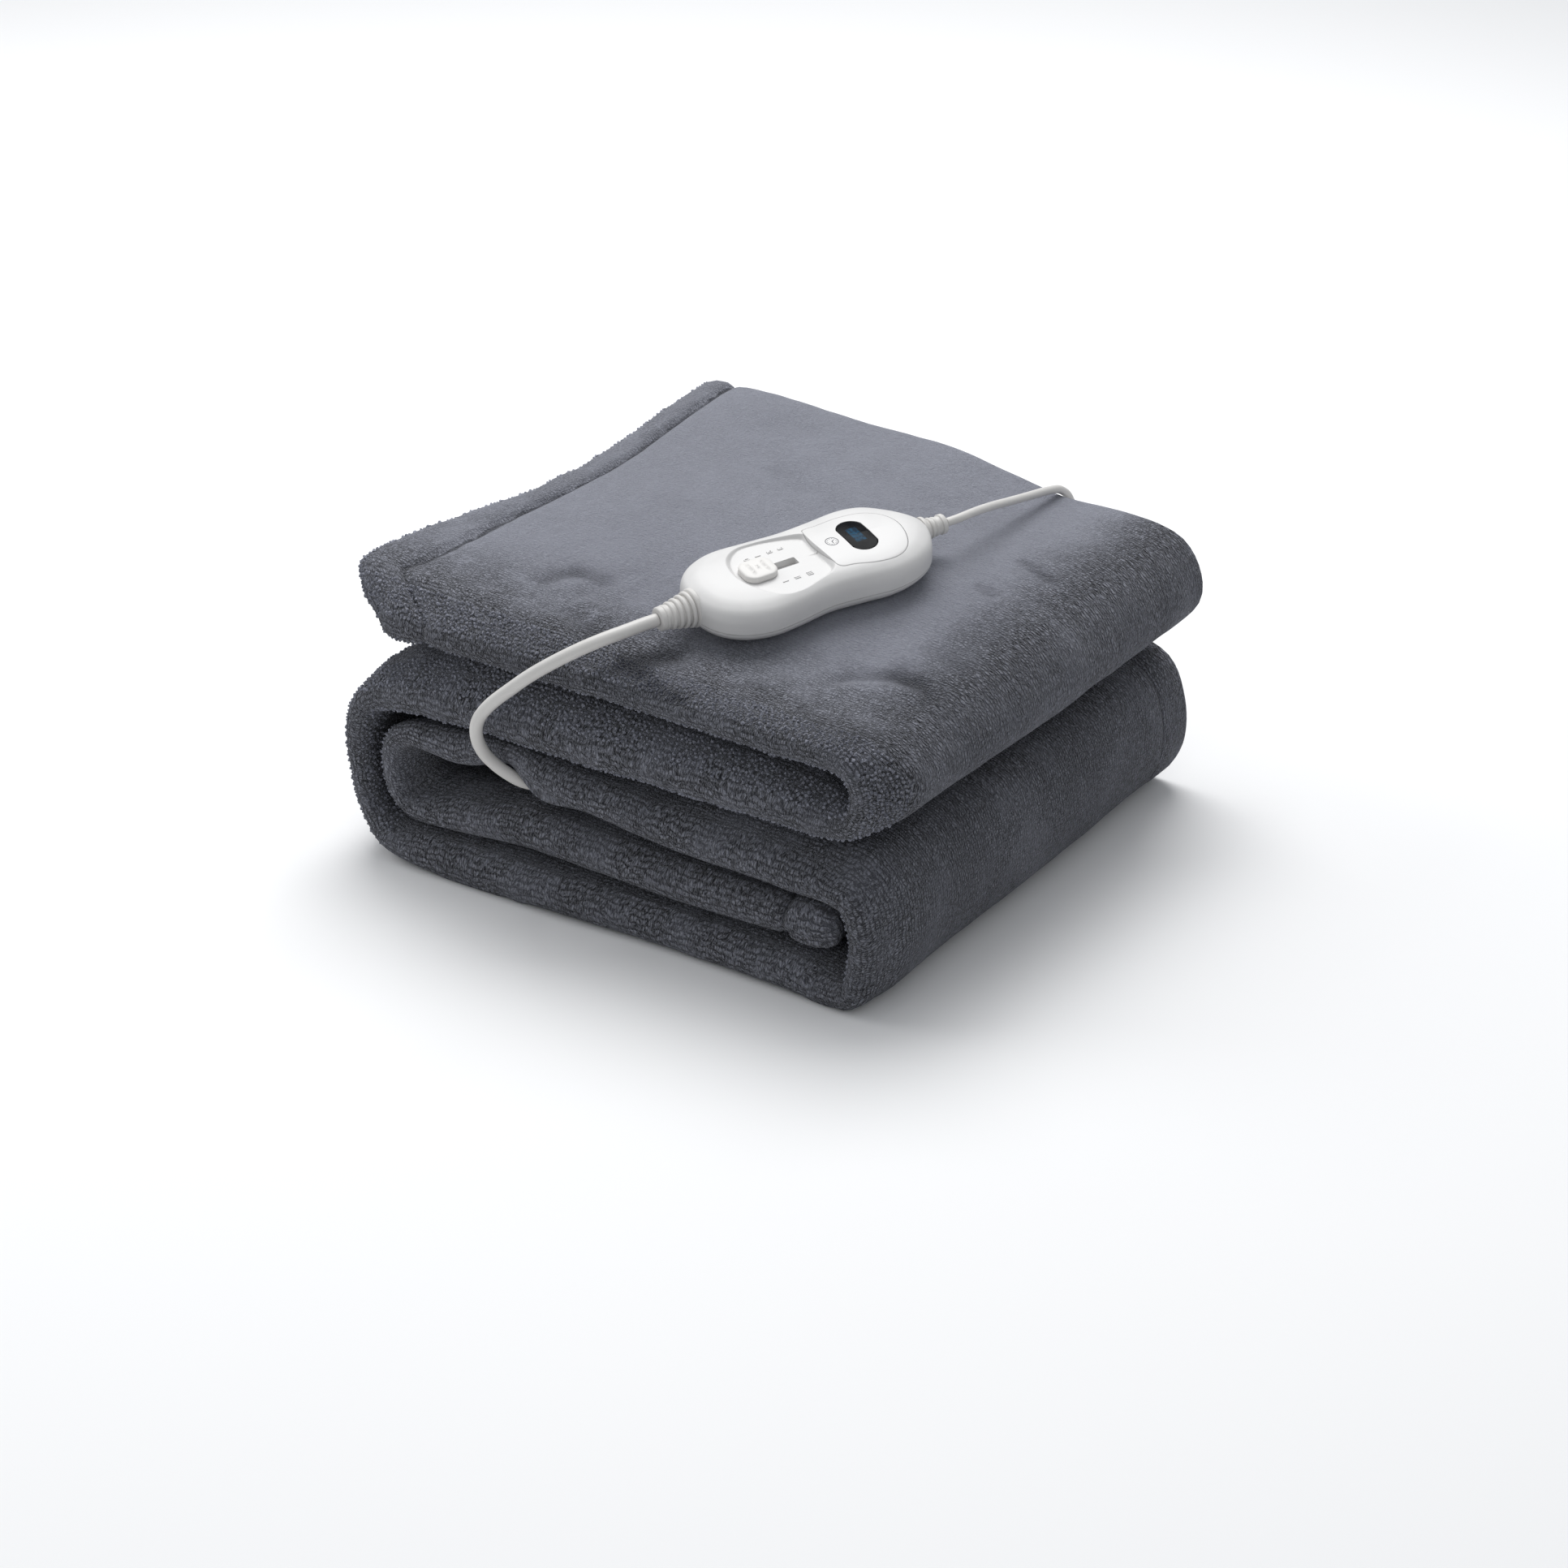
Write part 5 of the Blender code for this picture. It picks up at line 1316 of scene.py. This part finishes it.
def edge_distance(points, outline):
    """Distance inside (+) or outside (-) a closed outline."""
    ends = np.roll(outline, -1, 0)
    best = np.full(len(points), 1e9)
    inside = np.zeros(len(points), bool)
    for a, b in zip(outline, ends):
        d = b - a
        t = np.clip(((points - a) @ d) / max(d @ d, 1e-12), 0.0, 1.0)
        best = np.minimum(best, np.hypot(*(points - a - t[:, None] * d).T))
        crosses = (a[1] > points[:, 1]) != (b[1] > points[:, 1])
        with np.errstate(divide="ignore", invalid="ignore"):
            where = (b[0] - a[0]) * (points[:, 1] - a[1]) / (b[1] - a[1]) + a[0]
        inside ^= crosses & (points[:, 0] < where)
    return np.where(inside, best, -best)


def soft_least(a, b, blend):
    """The smaller of two heights, their crossing rounded over blend."""
    h = np.clip(0.5 + 0.5 * (b - a) / blend, 0.0, 1.0)
    return mix(b, a, h) - blend * h * (1 - h)


def ringed_shell(name, wall, points_around, sink=None, step=0.42):
    """Closed half of the housing: its wall, its crown and a flat cut at the parting line."""
    outline = closed_outline(HOUSING_OUTLINE, points_around)
    rings = []
    for inset, height in wall_table(wall, step):
        ring = ring_at(outline, min(inset, 33.1))
        level = np.full(len(ring), height)
        if sink is not None and height > 8.0:
            level = sink(ring, level)
        rings.append(np.concatenate([ring, level[:, None]], 1))
    points = np.concatenate(rings) * MM
    data = closed_grid(name, points, len(rings), points_around)
    faces_out(data)
    return show(name, data)


def prism(name, outline, low, high):
    """Upright cutter on a closed outline."""
    count = len(outline)
    points = np.concatenate([np.column_stack([outline, np.full(count, low)]),
                             np.column_stack([outline, np.full(count, high)])]) * MM
    data = closed_grid(name, points, 2, count)
    faces_out(data)
    cutter = show(name, data)
    cutter.hide_render = True
    return cutter


def cut(piece, cutter, operation="DIFFERENCE"):
    step = piece.modifiers.new(cutter.name, "BOOLEAN")
    step.object = cutter
    step.operation = operation
    step.solver = "EXACT"


def inward(outline, amount):
    """The outline drawn in evenly by amount."""
    along = np.roll(outline, -1, 0) - np.roll(outline, 1, 0)
    along /= np.hypot(*along.T)[:, None]
    x, y = outline.T
    area = (x * np.roll(y, -1) - np.roll(x, -1) * y).sum()
    turn = 1.0 if area > 0 else -1.0
    return outline + np.stack([-along[:, 1], along[:, 0]], 1) * amount * turn


def rounded_rectangle(size, rounding, steps, at=(0.0, 0.0)):
    points = []
    for corner in range(4):
        sx = 1 if corner in (0, 3) else -1
        sy = 1 if corner in (0, 1) else -1
        for i in range(steps + 1):
            turn = math.pi / 2 * (corner + i / steps)
            points.append((at[0] + sx * (size[0] / 2 - rounding) + rounding * math.cos(turn),
                           at[1] + sy * (size[1] / 2 - rounding) + rounding * math.sin(turn)))
    return np.array(points)


def window_outline(steps=28):
    half_x, half_y = WINDOW_SIZE[0] / 2, WINDOW_SIZE[1] / 2
    rise = half_y - WINDOW_SIDE
    radius = (half_x ** 2 + rise ** 2) / (2 * rise)
    spread = math.asin(half_x / radius)
    points = []
    for sign in (1, -1):
        for i in range(steps + 1):
            turn = mix(spread, -spread, i / steps)
            points.append((WINDOW_AT[0] - sign * radius * math.sin(turn),
                           WINDOW_AT[1] + sign * (half_y - radius + radius * math.cos(turn))))
    return closed_outline(points, 200)


def domed_plate(name, outline, low, crown, rounding, rings=40, middle=None):
    """Plate on an outline: a wall from low, a rounded edge, and a top that follows crown."""
    centre = outline.mean(0) if middle is None else np.array(middle)
    layers = [np.column_stack([outline, np.full(len(outline), low)])]
    for degrees in (0, 30, 60, 90):
        turn = math.radians(degrees)
        ring = inward(outline, rounding * (1 - math.cos(turn)))
        top = crown(ring[:, 0], ring[:, 1]) - rounding * (1 - math.sin(turn))
        layers.append(np.column_stack([ring, np.maximum(top, low + 0.05)]))
    edge = inward(outline, rounding)
    for i in range(1, rings):
        share = 1 - i / rings
        ring = centre + (edge - centre) * share
        layers.append(np.column_stack([ring, crown(ring[:, 0], ring[:, 1])]))
    data = closed_grid(name, np.concatenate(layers) * MM, len(layers), len(outline))
    faces_out(data)
    return show(name, data)


def settle(piece, name, material, body, nodes, sharp=40.0):
    """Carry a piece from the control's own frame to its place and tell the frame about it."""
    piece = as_mesh(piece, name, material, sharp)
    piece.data.transform(handset_matrix())
    piece.data.update()
    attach(piece, body)
    if nodes:
        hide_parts(*nodes)


def build_housing(looks):
    crown = Crown()
    tray = closed_outline(TRAY_OUTLINE, 160)

    def sink(ring, level):
        away = -edge_distance(ring, tray)
        wall = TRAY_FLOOR + np.maximum(away, 0.0) / TRAY_SLOPE
        return soft_least(level, wall, TRAY_ROUNDING)

    top = ringed_shell("housing_top", TOP_WALL, 620, sink)
    base = ringed_shell("housing_base", BASE_WALL, 300, None, 0.8)
    plate = closed_outline(PANEL_OUTLINE, 260)
    glass = window_outline()
    slot = rounded_rectangle((STEM_SIZE[0] + KNOB_TRAVEL + 1.2, STEM_SIZE[1] + 0.8), 0.8, 5,
                             (KNOB_AT[0] + KNOB_TRAVEL / 2, KNOB_AT[1]))
    cutters = [prism("cut_slot", slot, TRAY_FLOOR - SLOT_DEPTH, 20.0),
               prism("cut_panel", plate, PANEL_FLOOR, 20.0),
               prism("cut_window", glass, WINDOW_FLOOR, 20.0)]
    cut(top, cutters[0])
    cut(top, cutters[1])
    panel = domed_plate("display_plate", inward(plate, PANEL_GAP), PANEL_FLOOR + 0.2,
                        lambda x, y: crown.height(x, y) + 0.12, 0.4, 60)
    cut(panel, cutters[2])

    def dome(x, y):
        share = np.hypot((x - WINDOW_AT[0]) / WINDOW_SIZE[0] * 2,
                         (y - WINDOW_AT[1]) / WINDOW_SIZE[1] * 2)
        return crown.height(x, y) + 0.1 + 0.35 * (1 - share ** 2)

    window = domed_plate("display_window_glass", inward(glass, WINDOW_GAP), WINDOW_FLOOR + 0.2,
                         dome, 0.5, 24, WINDOW_AT)
    layer = window.data.attributes.new("display", "FLOAT_VECTOR", "POINT")
    for vertex, value in zip(window.data.vertices, layer.data):
        value.vector = (vertex.co.x - WINDOW_AT[0] * MM, vertex.co.y - WINDOW_AT[1] * MM, 0.0)
    settle(top, "housing_top", looks["housing"], MAIN, ["handset_top"], 50.0)
    settle(base, "housing_base", looks["housing"], MAIN, ["handset_base"])
    settle(panel, "display_plate", looks["panel"], MAIN, ["display_panel"], 50.0)
    settle(window, "display_window_glass", looks["window"], MAIN, ["display_window"],
           50.0)
    for cutter in cutters:
        bpy.data.objects.remove(cutter)


def build_knob(looks):
    """Rounded cap with three cross ridges, on its stem."""
    seat = TRAY_FLOOR + KNOB_CLEARANCE
    cap = rounded_rectangle(KNOB_SIZE, KNOB_ROUNDING, 14)
    layers = [np.column_stack([cap, np.full(len(cap), seat)])]
    for share, height in KNOB_DOME:
        layers.append(np.column_stack([cap * share, np.full(len(cap), seat + height)]))
    fine = []
    for here, there in zip(layers, layers[1:]):
        fine += [mix(here, there, t) for t in (0.0, 0.5)]
    fine.append(layers[-1])
    for ring in fine:
        for ridge in KNOB_RIDGES:
            beside = np.exp(-((ring[:, 0] - ridge) / RIDGE_WIDTH) ** 2)
            length = eased(np.abs(ring[:, 1]), RIDGE_REACH, -1.6)
            top = eased(ring[:, 2] - seat, 2.9, 0.4)
            ring[:, 2] += RIDGE_HEIGHT * beside * length * top
    data = closed_grid("slider_cap", np.concatenate(fine) * MM, len(fine), len(cap))
    faces_out(data)
    knob = show("slider_cap", data)
    stem = prism("stem", rounded_rectangle(STEM_SIZE, 0.6, 4), seat - 2.8, seat + 0.6)
    stem.hide_render = False
    knob = join("slider_cap", [knob, stem], looks["knob"])
    knob.data.transform(Matrix.Translation((KNOB_AT[0] * MM, KNOB_AT[1] * MM, 0.0)))
    settle(knob, "slider_cap", looks["knob"], SLIDER, ["slider_knob"])


def raised_text(name, text, size, height, at, turn, thick, material):
    """Raised characters on the control, as a plain mesh in its own frame."""
    data = bpy.data.curves.new(name, "FONT")
    data.body = text
    data.size = size * MM
    data.extrude = thick / 2 * MM
    data.bevel_depth = thick * 0.2 * MM
    data.align_x, data.align_y = "CENTER", "CENTER"
    piece = bpy.data.objects.new(name, data)
    bpy.context.scene.collection.objects.link(piece)
    piece.matrix_world = (Matrix.Translation(Vector((at[0], at[1], height)) * MM)
                          @ Matrix.Rotation(turn, 4, "Z"))
    bpy.context.view_layer.update()
    return as_mesh(piece, name, material)


def build_marks(looks):
    """Raised numbers beside the slider and a small clock-face mark beside the window."""
    quarter = -math.pi / 2
    raised = [raised_text(f"number_{i}", text, NUMBER_SIZE, TRAY_FLOOR + 0.1, (x, y), quarter,
                          NUMBER_THICK, looks["housing"])
              for i, (text, x, y) in enumerate(DIGITS + NUMERALS)]
    numbers = join("raised_numbers", raised, looks["housing"])
    settle(numbers, "raised_numbers", looks["housing"], MAIN, [])
    crown = Crown()
    centre = np.array(CLOCK_AT)
    points, faces = [], []

    def bar(start, end, width):
        start, end = np.array(start, float), np.array(end, float)
        side = np.array([-(end - start)[1], (end - start)[0]])
        side = side / np.hypot(*side) * width / 2
        ring = [start - side, end - side, end + side, start + side]
        at = len(points)
        for lift in (-0.2, 0.17):
            for x, y in ring:
                where = centre + np.array((x, y))
                height = crown.height(*[np.array([v]) for v in where])[0]
                points.append((*where, float(height) + lift))
        faces.extend([(at, at + 3, at + 2, at + 1), (at + 4, at + 5, at + 6, at + 7)])
        faces.extend([(at + i, at + (i + 1) % 4, at + 4 + (i + 1) % 4, at + 4 + i)
                      for i in range(4)])

    def around(radius, step, steps):
        turn = 2 * math.pi * step / steps
        return radius * math.cos(turn), radius * math.sin(turn)

    for i in range(48):
        bar(around(CLOCK_RADIUS, i, 48), around(CLOCK_RADIUS, i + 1, 48), CLOCK_LINE)
    outer, inner, width = CLOCK_TICKS
    for i in range(12):
        bar(around(outer, i, 12), around(inner, i, 12), width)
    bar((0.0, 0.0), (0.0, -1.9), CLOCK_LINE)
    bar((0.0, 0.0), (1.35, 0.6), 0.5)
    data = new_mesh("clock_mark", np.array(points) * MM, faces)
    mark = show("clock_mark", data)
    settle(mark, "clock_mark", looks["print"], MAIN, [])


def gland_ribs_tree():
    """Geometry tree: rings that taper along a strain relief."""
    tree, p, given = geometry_tree("strain_relief_ribs", (
        ("Ribs", "Int", 5), ("First", "Float", 0.0026), ("Pitch", "Float", 0.0039),
        ("Radius", "Float", 0.009), ("Taper", "Float", 0.0009), ("Width", "Float", 0.0012),
        ("Look", "Material", None)))
    line = p.node("GeometryNodeMeshLine", {"mode": "OFFSET"}, Count=given["Ribs"])
    p.feed(line, "Start Location", p.node("ShaderNodeCombineXYZ", Z=given["First"]).outputs[0])
    p.feed(line, "Offset", p.node("ShaderNodeCombineXYZ", Z=given["Pitch"]).outputs[0])
    circle = p.node("GeometryNodeCurvePrimitiveCircle", Resolution=56, Radius=1.0)
    index = p.node("GeometryNodeInputIndex").outputs[0]
    radius = p.sum("SUBTRACT", given["Radius"], p.sum("MULTIPLY", index, given["Taper"]))
    put = p.node("GeometryNodeInstanceOnPoints", Points=line.outputs[0],
                 Instance=circle.outputs[0])
    p.feed(put, "Scale", p.node("ShaderNodeCombineXYZ", X=radius, Y=radius, Z=1.0).outputs[0])
    rings = p.node("GeometryNodeRealizeInstances", Geometry=put.outputs[0])
    section = p.node("GeometryNodeCurvePrimitiveCircle", Resolution=12, Radius=given["Width"])
    body = p.node("GeometryNodeCurveToMesh", Curve=rings.outputs[0],
                  Profile_Curve=section.outputs[0])
    end_tree(p, body.outputs[0], given["Look"])
    return tree


def turned_shell(name, profile, steps):
    """Closed round shape from a profile of distance and radius along Z."""
    rings = []
    for z, radius in profile:
        turn = 2 * math.pi * np.arange(steps) / steps
        rings.append(np.stack([radius * np.cos(turn), radius * np.sin(turn),
                               np.full(steps, z)], 1))
    data = closed_grid(name, np.concatenate(rings) * MM, len(rings), steps)
    faces_out(data)
    return show(name, data)


def build_gland(name, node, sizes, looks, tree):
    """Tapered sleeve with ribs, a collar at the housing and a small collar at its tip."""
    start, end = sizes["sleeve"]
    reach = sizes["reach"]
    profile = [(-1.6, sizes["collar"]), (0.2, sizes["collar"]), (0.7, sizes["collar"] - 0.4),
               (0.9, sizes["collar"] - 1.2)]
    for share in np.linspace(0.08, 0.86, 14):
        profile.append((reach * share, mix(start - 1.6, end, share ** 0.8)))
    tip = end + 0.9
    profile += [(reach - 3.4, end), (reach - 3.2, tip - 0.25), (reach - 2.9, tip),
                (reach - 0.7, tip - 0.1), (reach - 0.2, tip - 0.45), (reach, tip - 1.1)]
    sleeve = turned_shell(name + "_sleeve", profile, 72)
    outer = start - 0.55
    taper = (start - end) / sizes["ribs"] * 0.86
    ribs = run_tree(name + "_ribs", tree, {
        "Ribs": sizes["ribs"], "First": sizes["first"] * MM, "Pitch": sizes["pitch"] * MM * 0.92,
        "Radius": (outer - 1.0) * MM, "Taper": taper * MM, "Width": sizes["wide"] / 2 * MM,
        "Look": looks["cable"]})
    gland = join(name, [sleeve, ribs], looks["cable"])
    gland.data.transform(Matrix.Rotation(math.radians(90.0 * sizes["turn"]), 4, "Y"))
    gland.data.transform(Matrix.Translation((sizes["root"] * MM, 0.0, 0.0)))
    settle(gland, name, looks["cable"], MAIN, [node])


# ------------------------------------------------------------------ plug and strap
def build_plug(looks):
    """Flat two-pin plug with a ribbed boot and finger grips."""
    sections = np.array(PLUG_SECTIONS)
    reach = np.linspace(0.0, sections[-1, 0], PLUG_RINGS)
    fine = smooth_curve(knots(sections[:, :1]), sections, reach)
    turn = 2 * math.pi * (np.arange(PLUG_AROUND) + 0.5) / PLUG_AROUND
    c, s = (np.sign(wave) * np.abs(wave) ** PLUG_CORNERS for wave in (np.cos(turn), np.sin(turn)))
    rings = []
    for distance, half_width, half_height in fine:
        boot = 0.35 * math.sin(distance * 2.0) if 3.0 < distance < 15.0 else 0.0
        grip = 0.45 * math.sin(distance * 1.6) if 28.0 < distance < 44.0 else 0.0
        wide = half_width + boot + grip * 0.8
        rings.append(np.stack([np.full(PLUG_AROUND, distance), c * wide,
                               s * (half_height + boot)], 1))
    place = np.array(PLUG_AT - ORIGIN)
    data = closed_grid("plug_shell", (np.concatenate(rings) + place) * MM, PLUG_RINGS,
                       PLUG_AROUND)
    faces_out(data)
    plug = show("plug_shell", data, looks["housing"])
    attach(plug, MAIN)
    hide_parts("plug_body")
    pins = []
    for name in ("plug_pin_left", "plug_pin_right"):
        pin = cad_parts[name]
        pin.data.materials.clear()
        pin.data.materials.append(looks["pin"])
        pins.append(pin)
    return [plug] + pins


def build_strap(looks):
    """Flat strap once round the turns, its end lapped over itself."""
    turn = np.linspace(0.0, 2 * math.pi * TIE_LAPS, 150)
    side, up = (np.sign(wave) * np.abs(wave) ** TIE_CORNERS
                for wave in (np.cos(turn - TIE_START), np.sin(turn - TIE_START)))
    over = smooth((turn - 2 * math.pi * 0.98) / 0.4) * TIE_WALL
    layers = []
    for grow in (0.0, TIE_WALL):
        x = COIL_RADIUS + (COIL_ROOM[0] + grow + over) * side
        z = COIL_MIDDLE + (COIL_ROOM[1] + grow + over) * up
        layers.append(np.stack([x, np.maximum(z, TIE_WALL - grow)], 1))
    section = []
    half = TIE_WIDTH / 2
    for y, share in ((-half, 0.15), (half, 0.15), (half, 0.85), (-half, 0.85)):
        section.append((y, mix(layers[0], layers[1], share)))
    rings = np.stack([np.stack([at[:, 0], np.full(len(turn), y), at[:, 1]], 1)
                      for y, at in section], 1)
    data = closed_grid("coil_strap", rings.reshape(-1, 3) * MM, len(turn), len(section))
    faces_out(data, merge=False)
    uv = data.uv_layers.new(name="cloth")
    run = knots(layers[1])
    across = (0.0, TIE_WIDTH, TIE_WIDTH * 1.2, TIE_WIDTH * 2.2)
    for loop in data.loops:
        ring, corner = divmod(loop.vertex_index, len(section))
        uv.data[loop.index].uv = (run[ring] * MM, across[corner] * MM)
    data.transform(Matrix.Translation((Vector((*COIL_AT, 0.0)) - ORIGIN) * MM)
                   @ Matrix.Rotation(TIE_TURN, 4, "Z"))
    strap = show("coil_strap", data, looks["tie"])
    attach(strap, MAIN)
    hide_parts("coil_tie")
    return strap


# ------------------------------------------------------------------ everything
# dark is the plush as shaded on its folds, light the plush as lit on its top; its own tone and its
# painted light and shade blend between them
PLUSH_DARK = linear(58, 60, 69)
PLUSH_LIGHT = linear(146, 148, 159)


def main():
    add_camera()
    plush_pile_group()
    moulded_grain_group()
    white = linear(212, 211, 210)
    looks = {
        "housing": plastic_material("housing_white", white, 0.42),
        "knob": plastic_material("knob_white", linear(218, 216, 213), 0.45),
        "panel": plastic_material("panel_white", linear(213, 212, 211), 0.4, 0.0007),
        "window": glass_material(),
        "cable": plastic_material("cable_white", linear(206, 204, 201), 0.48, 0.0012, 0.25),
        "tie": strap_material(),
        "pin": pin_material(),
        "print": plastic_material("print_grey", linear(52, 54, 66), 0.5),
    }
    lead, mains, lead_length, mains_length = build_cords(looks["cable"])
    add_floor()
    add_lights()
    build_blanket(plush_material("plush", PLUSH_DARK, PLUSH_LIGHT),
                  tuft_material("plush_tips", PLUSH_DARK, PLUSH_LIGHT))
    build_housing(looks)
    build_knob(looks)
    build_marks(looks)
    ribs = gland_ribs_tree()
    build_gland("relief_to_blanket", "blanket_gland", BLANKET_GLAND, looks, ribs)
    build_gland("relief_to_mains", "mains_gland", MAINS_GLAND, looks, ribs)
    plug = build_plug(looks)
    strap = build_strap(looks)
    in_row_frame(LEAD_ROUTE[0])
    in_row_frame(MAINS_ROUTE[0])


main()
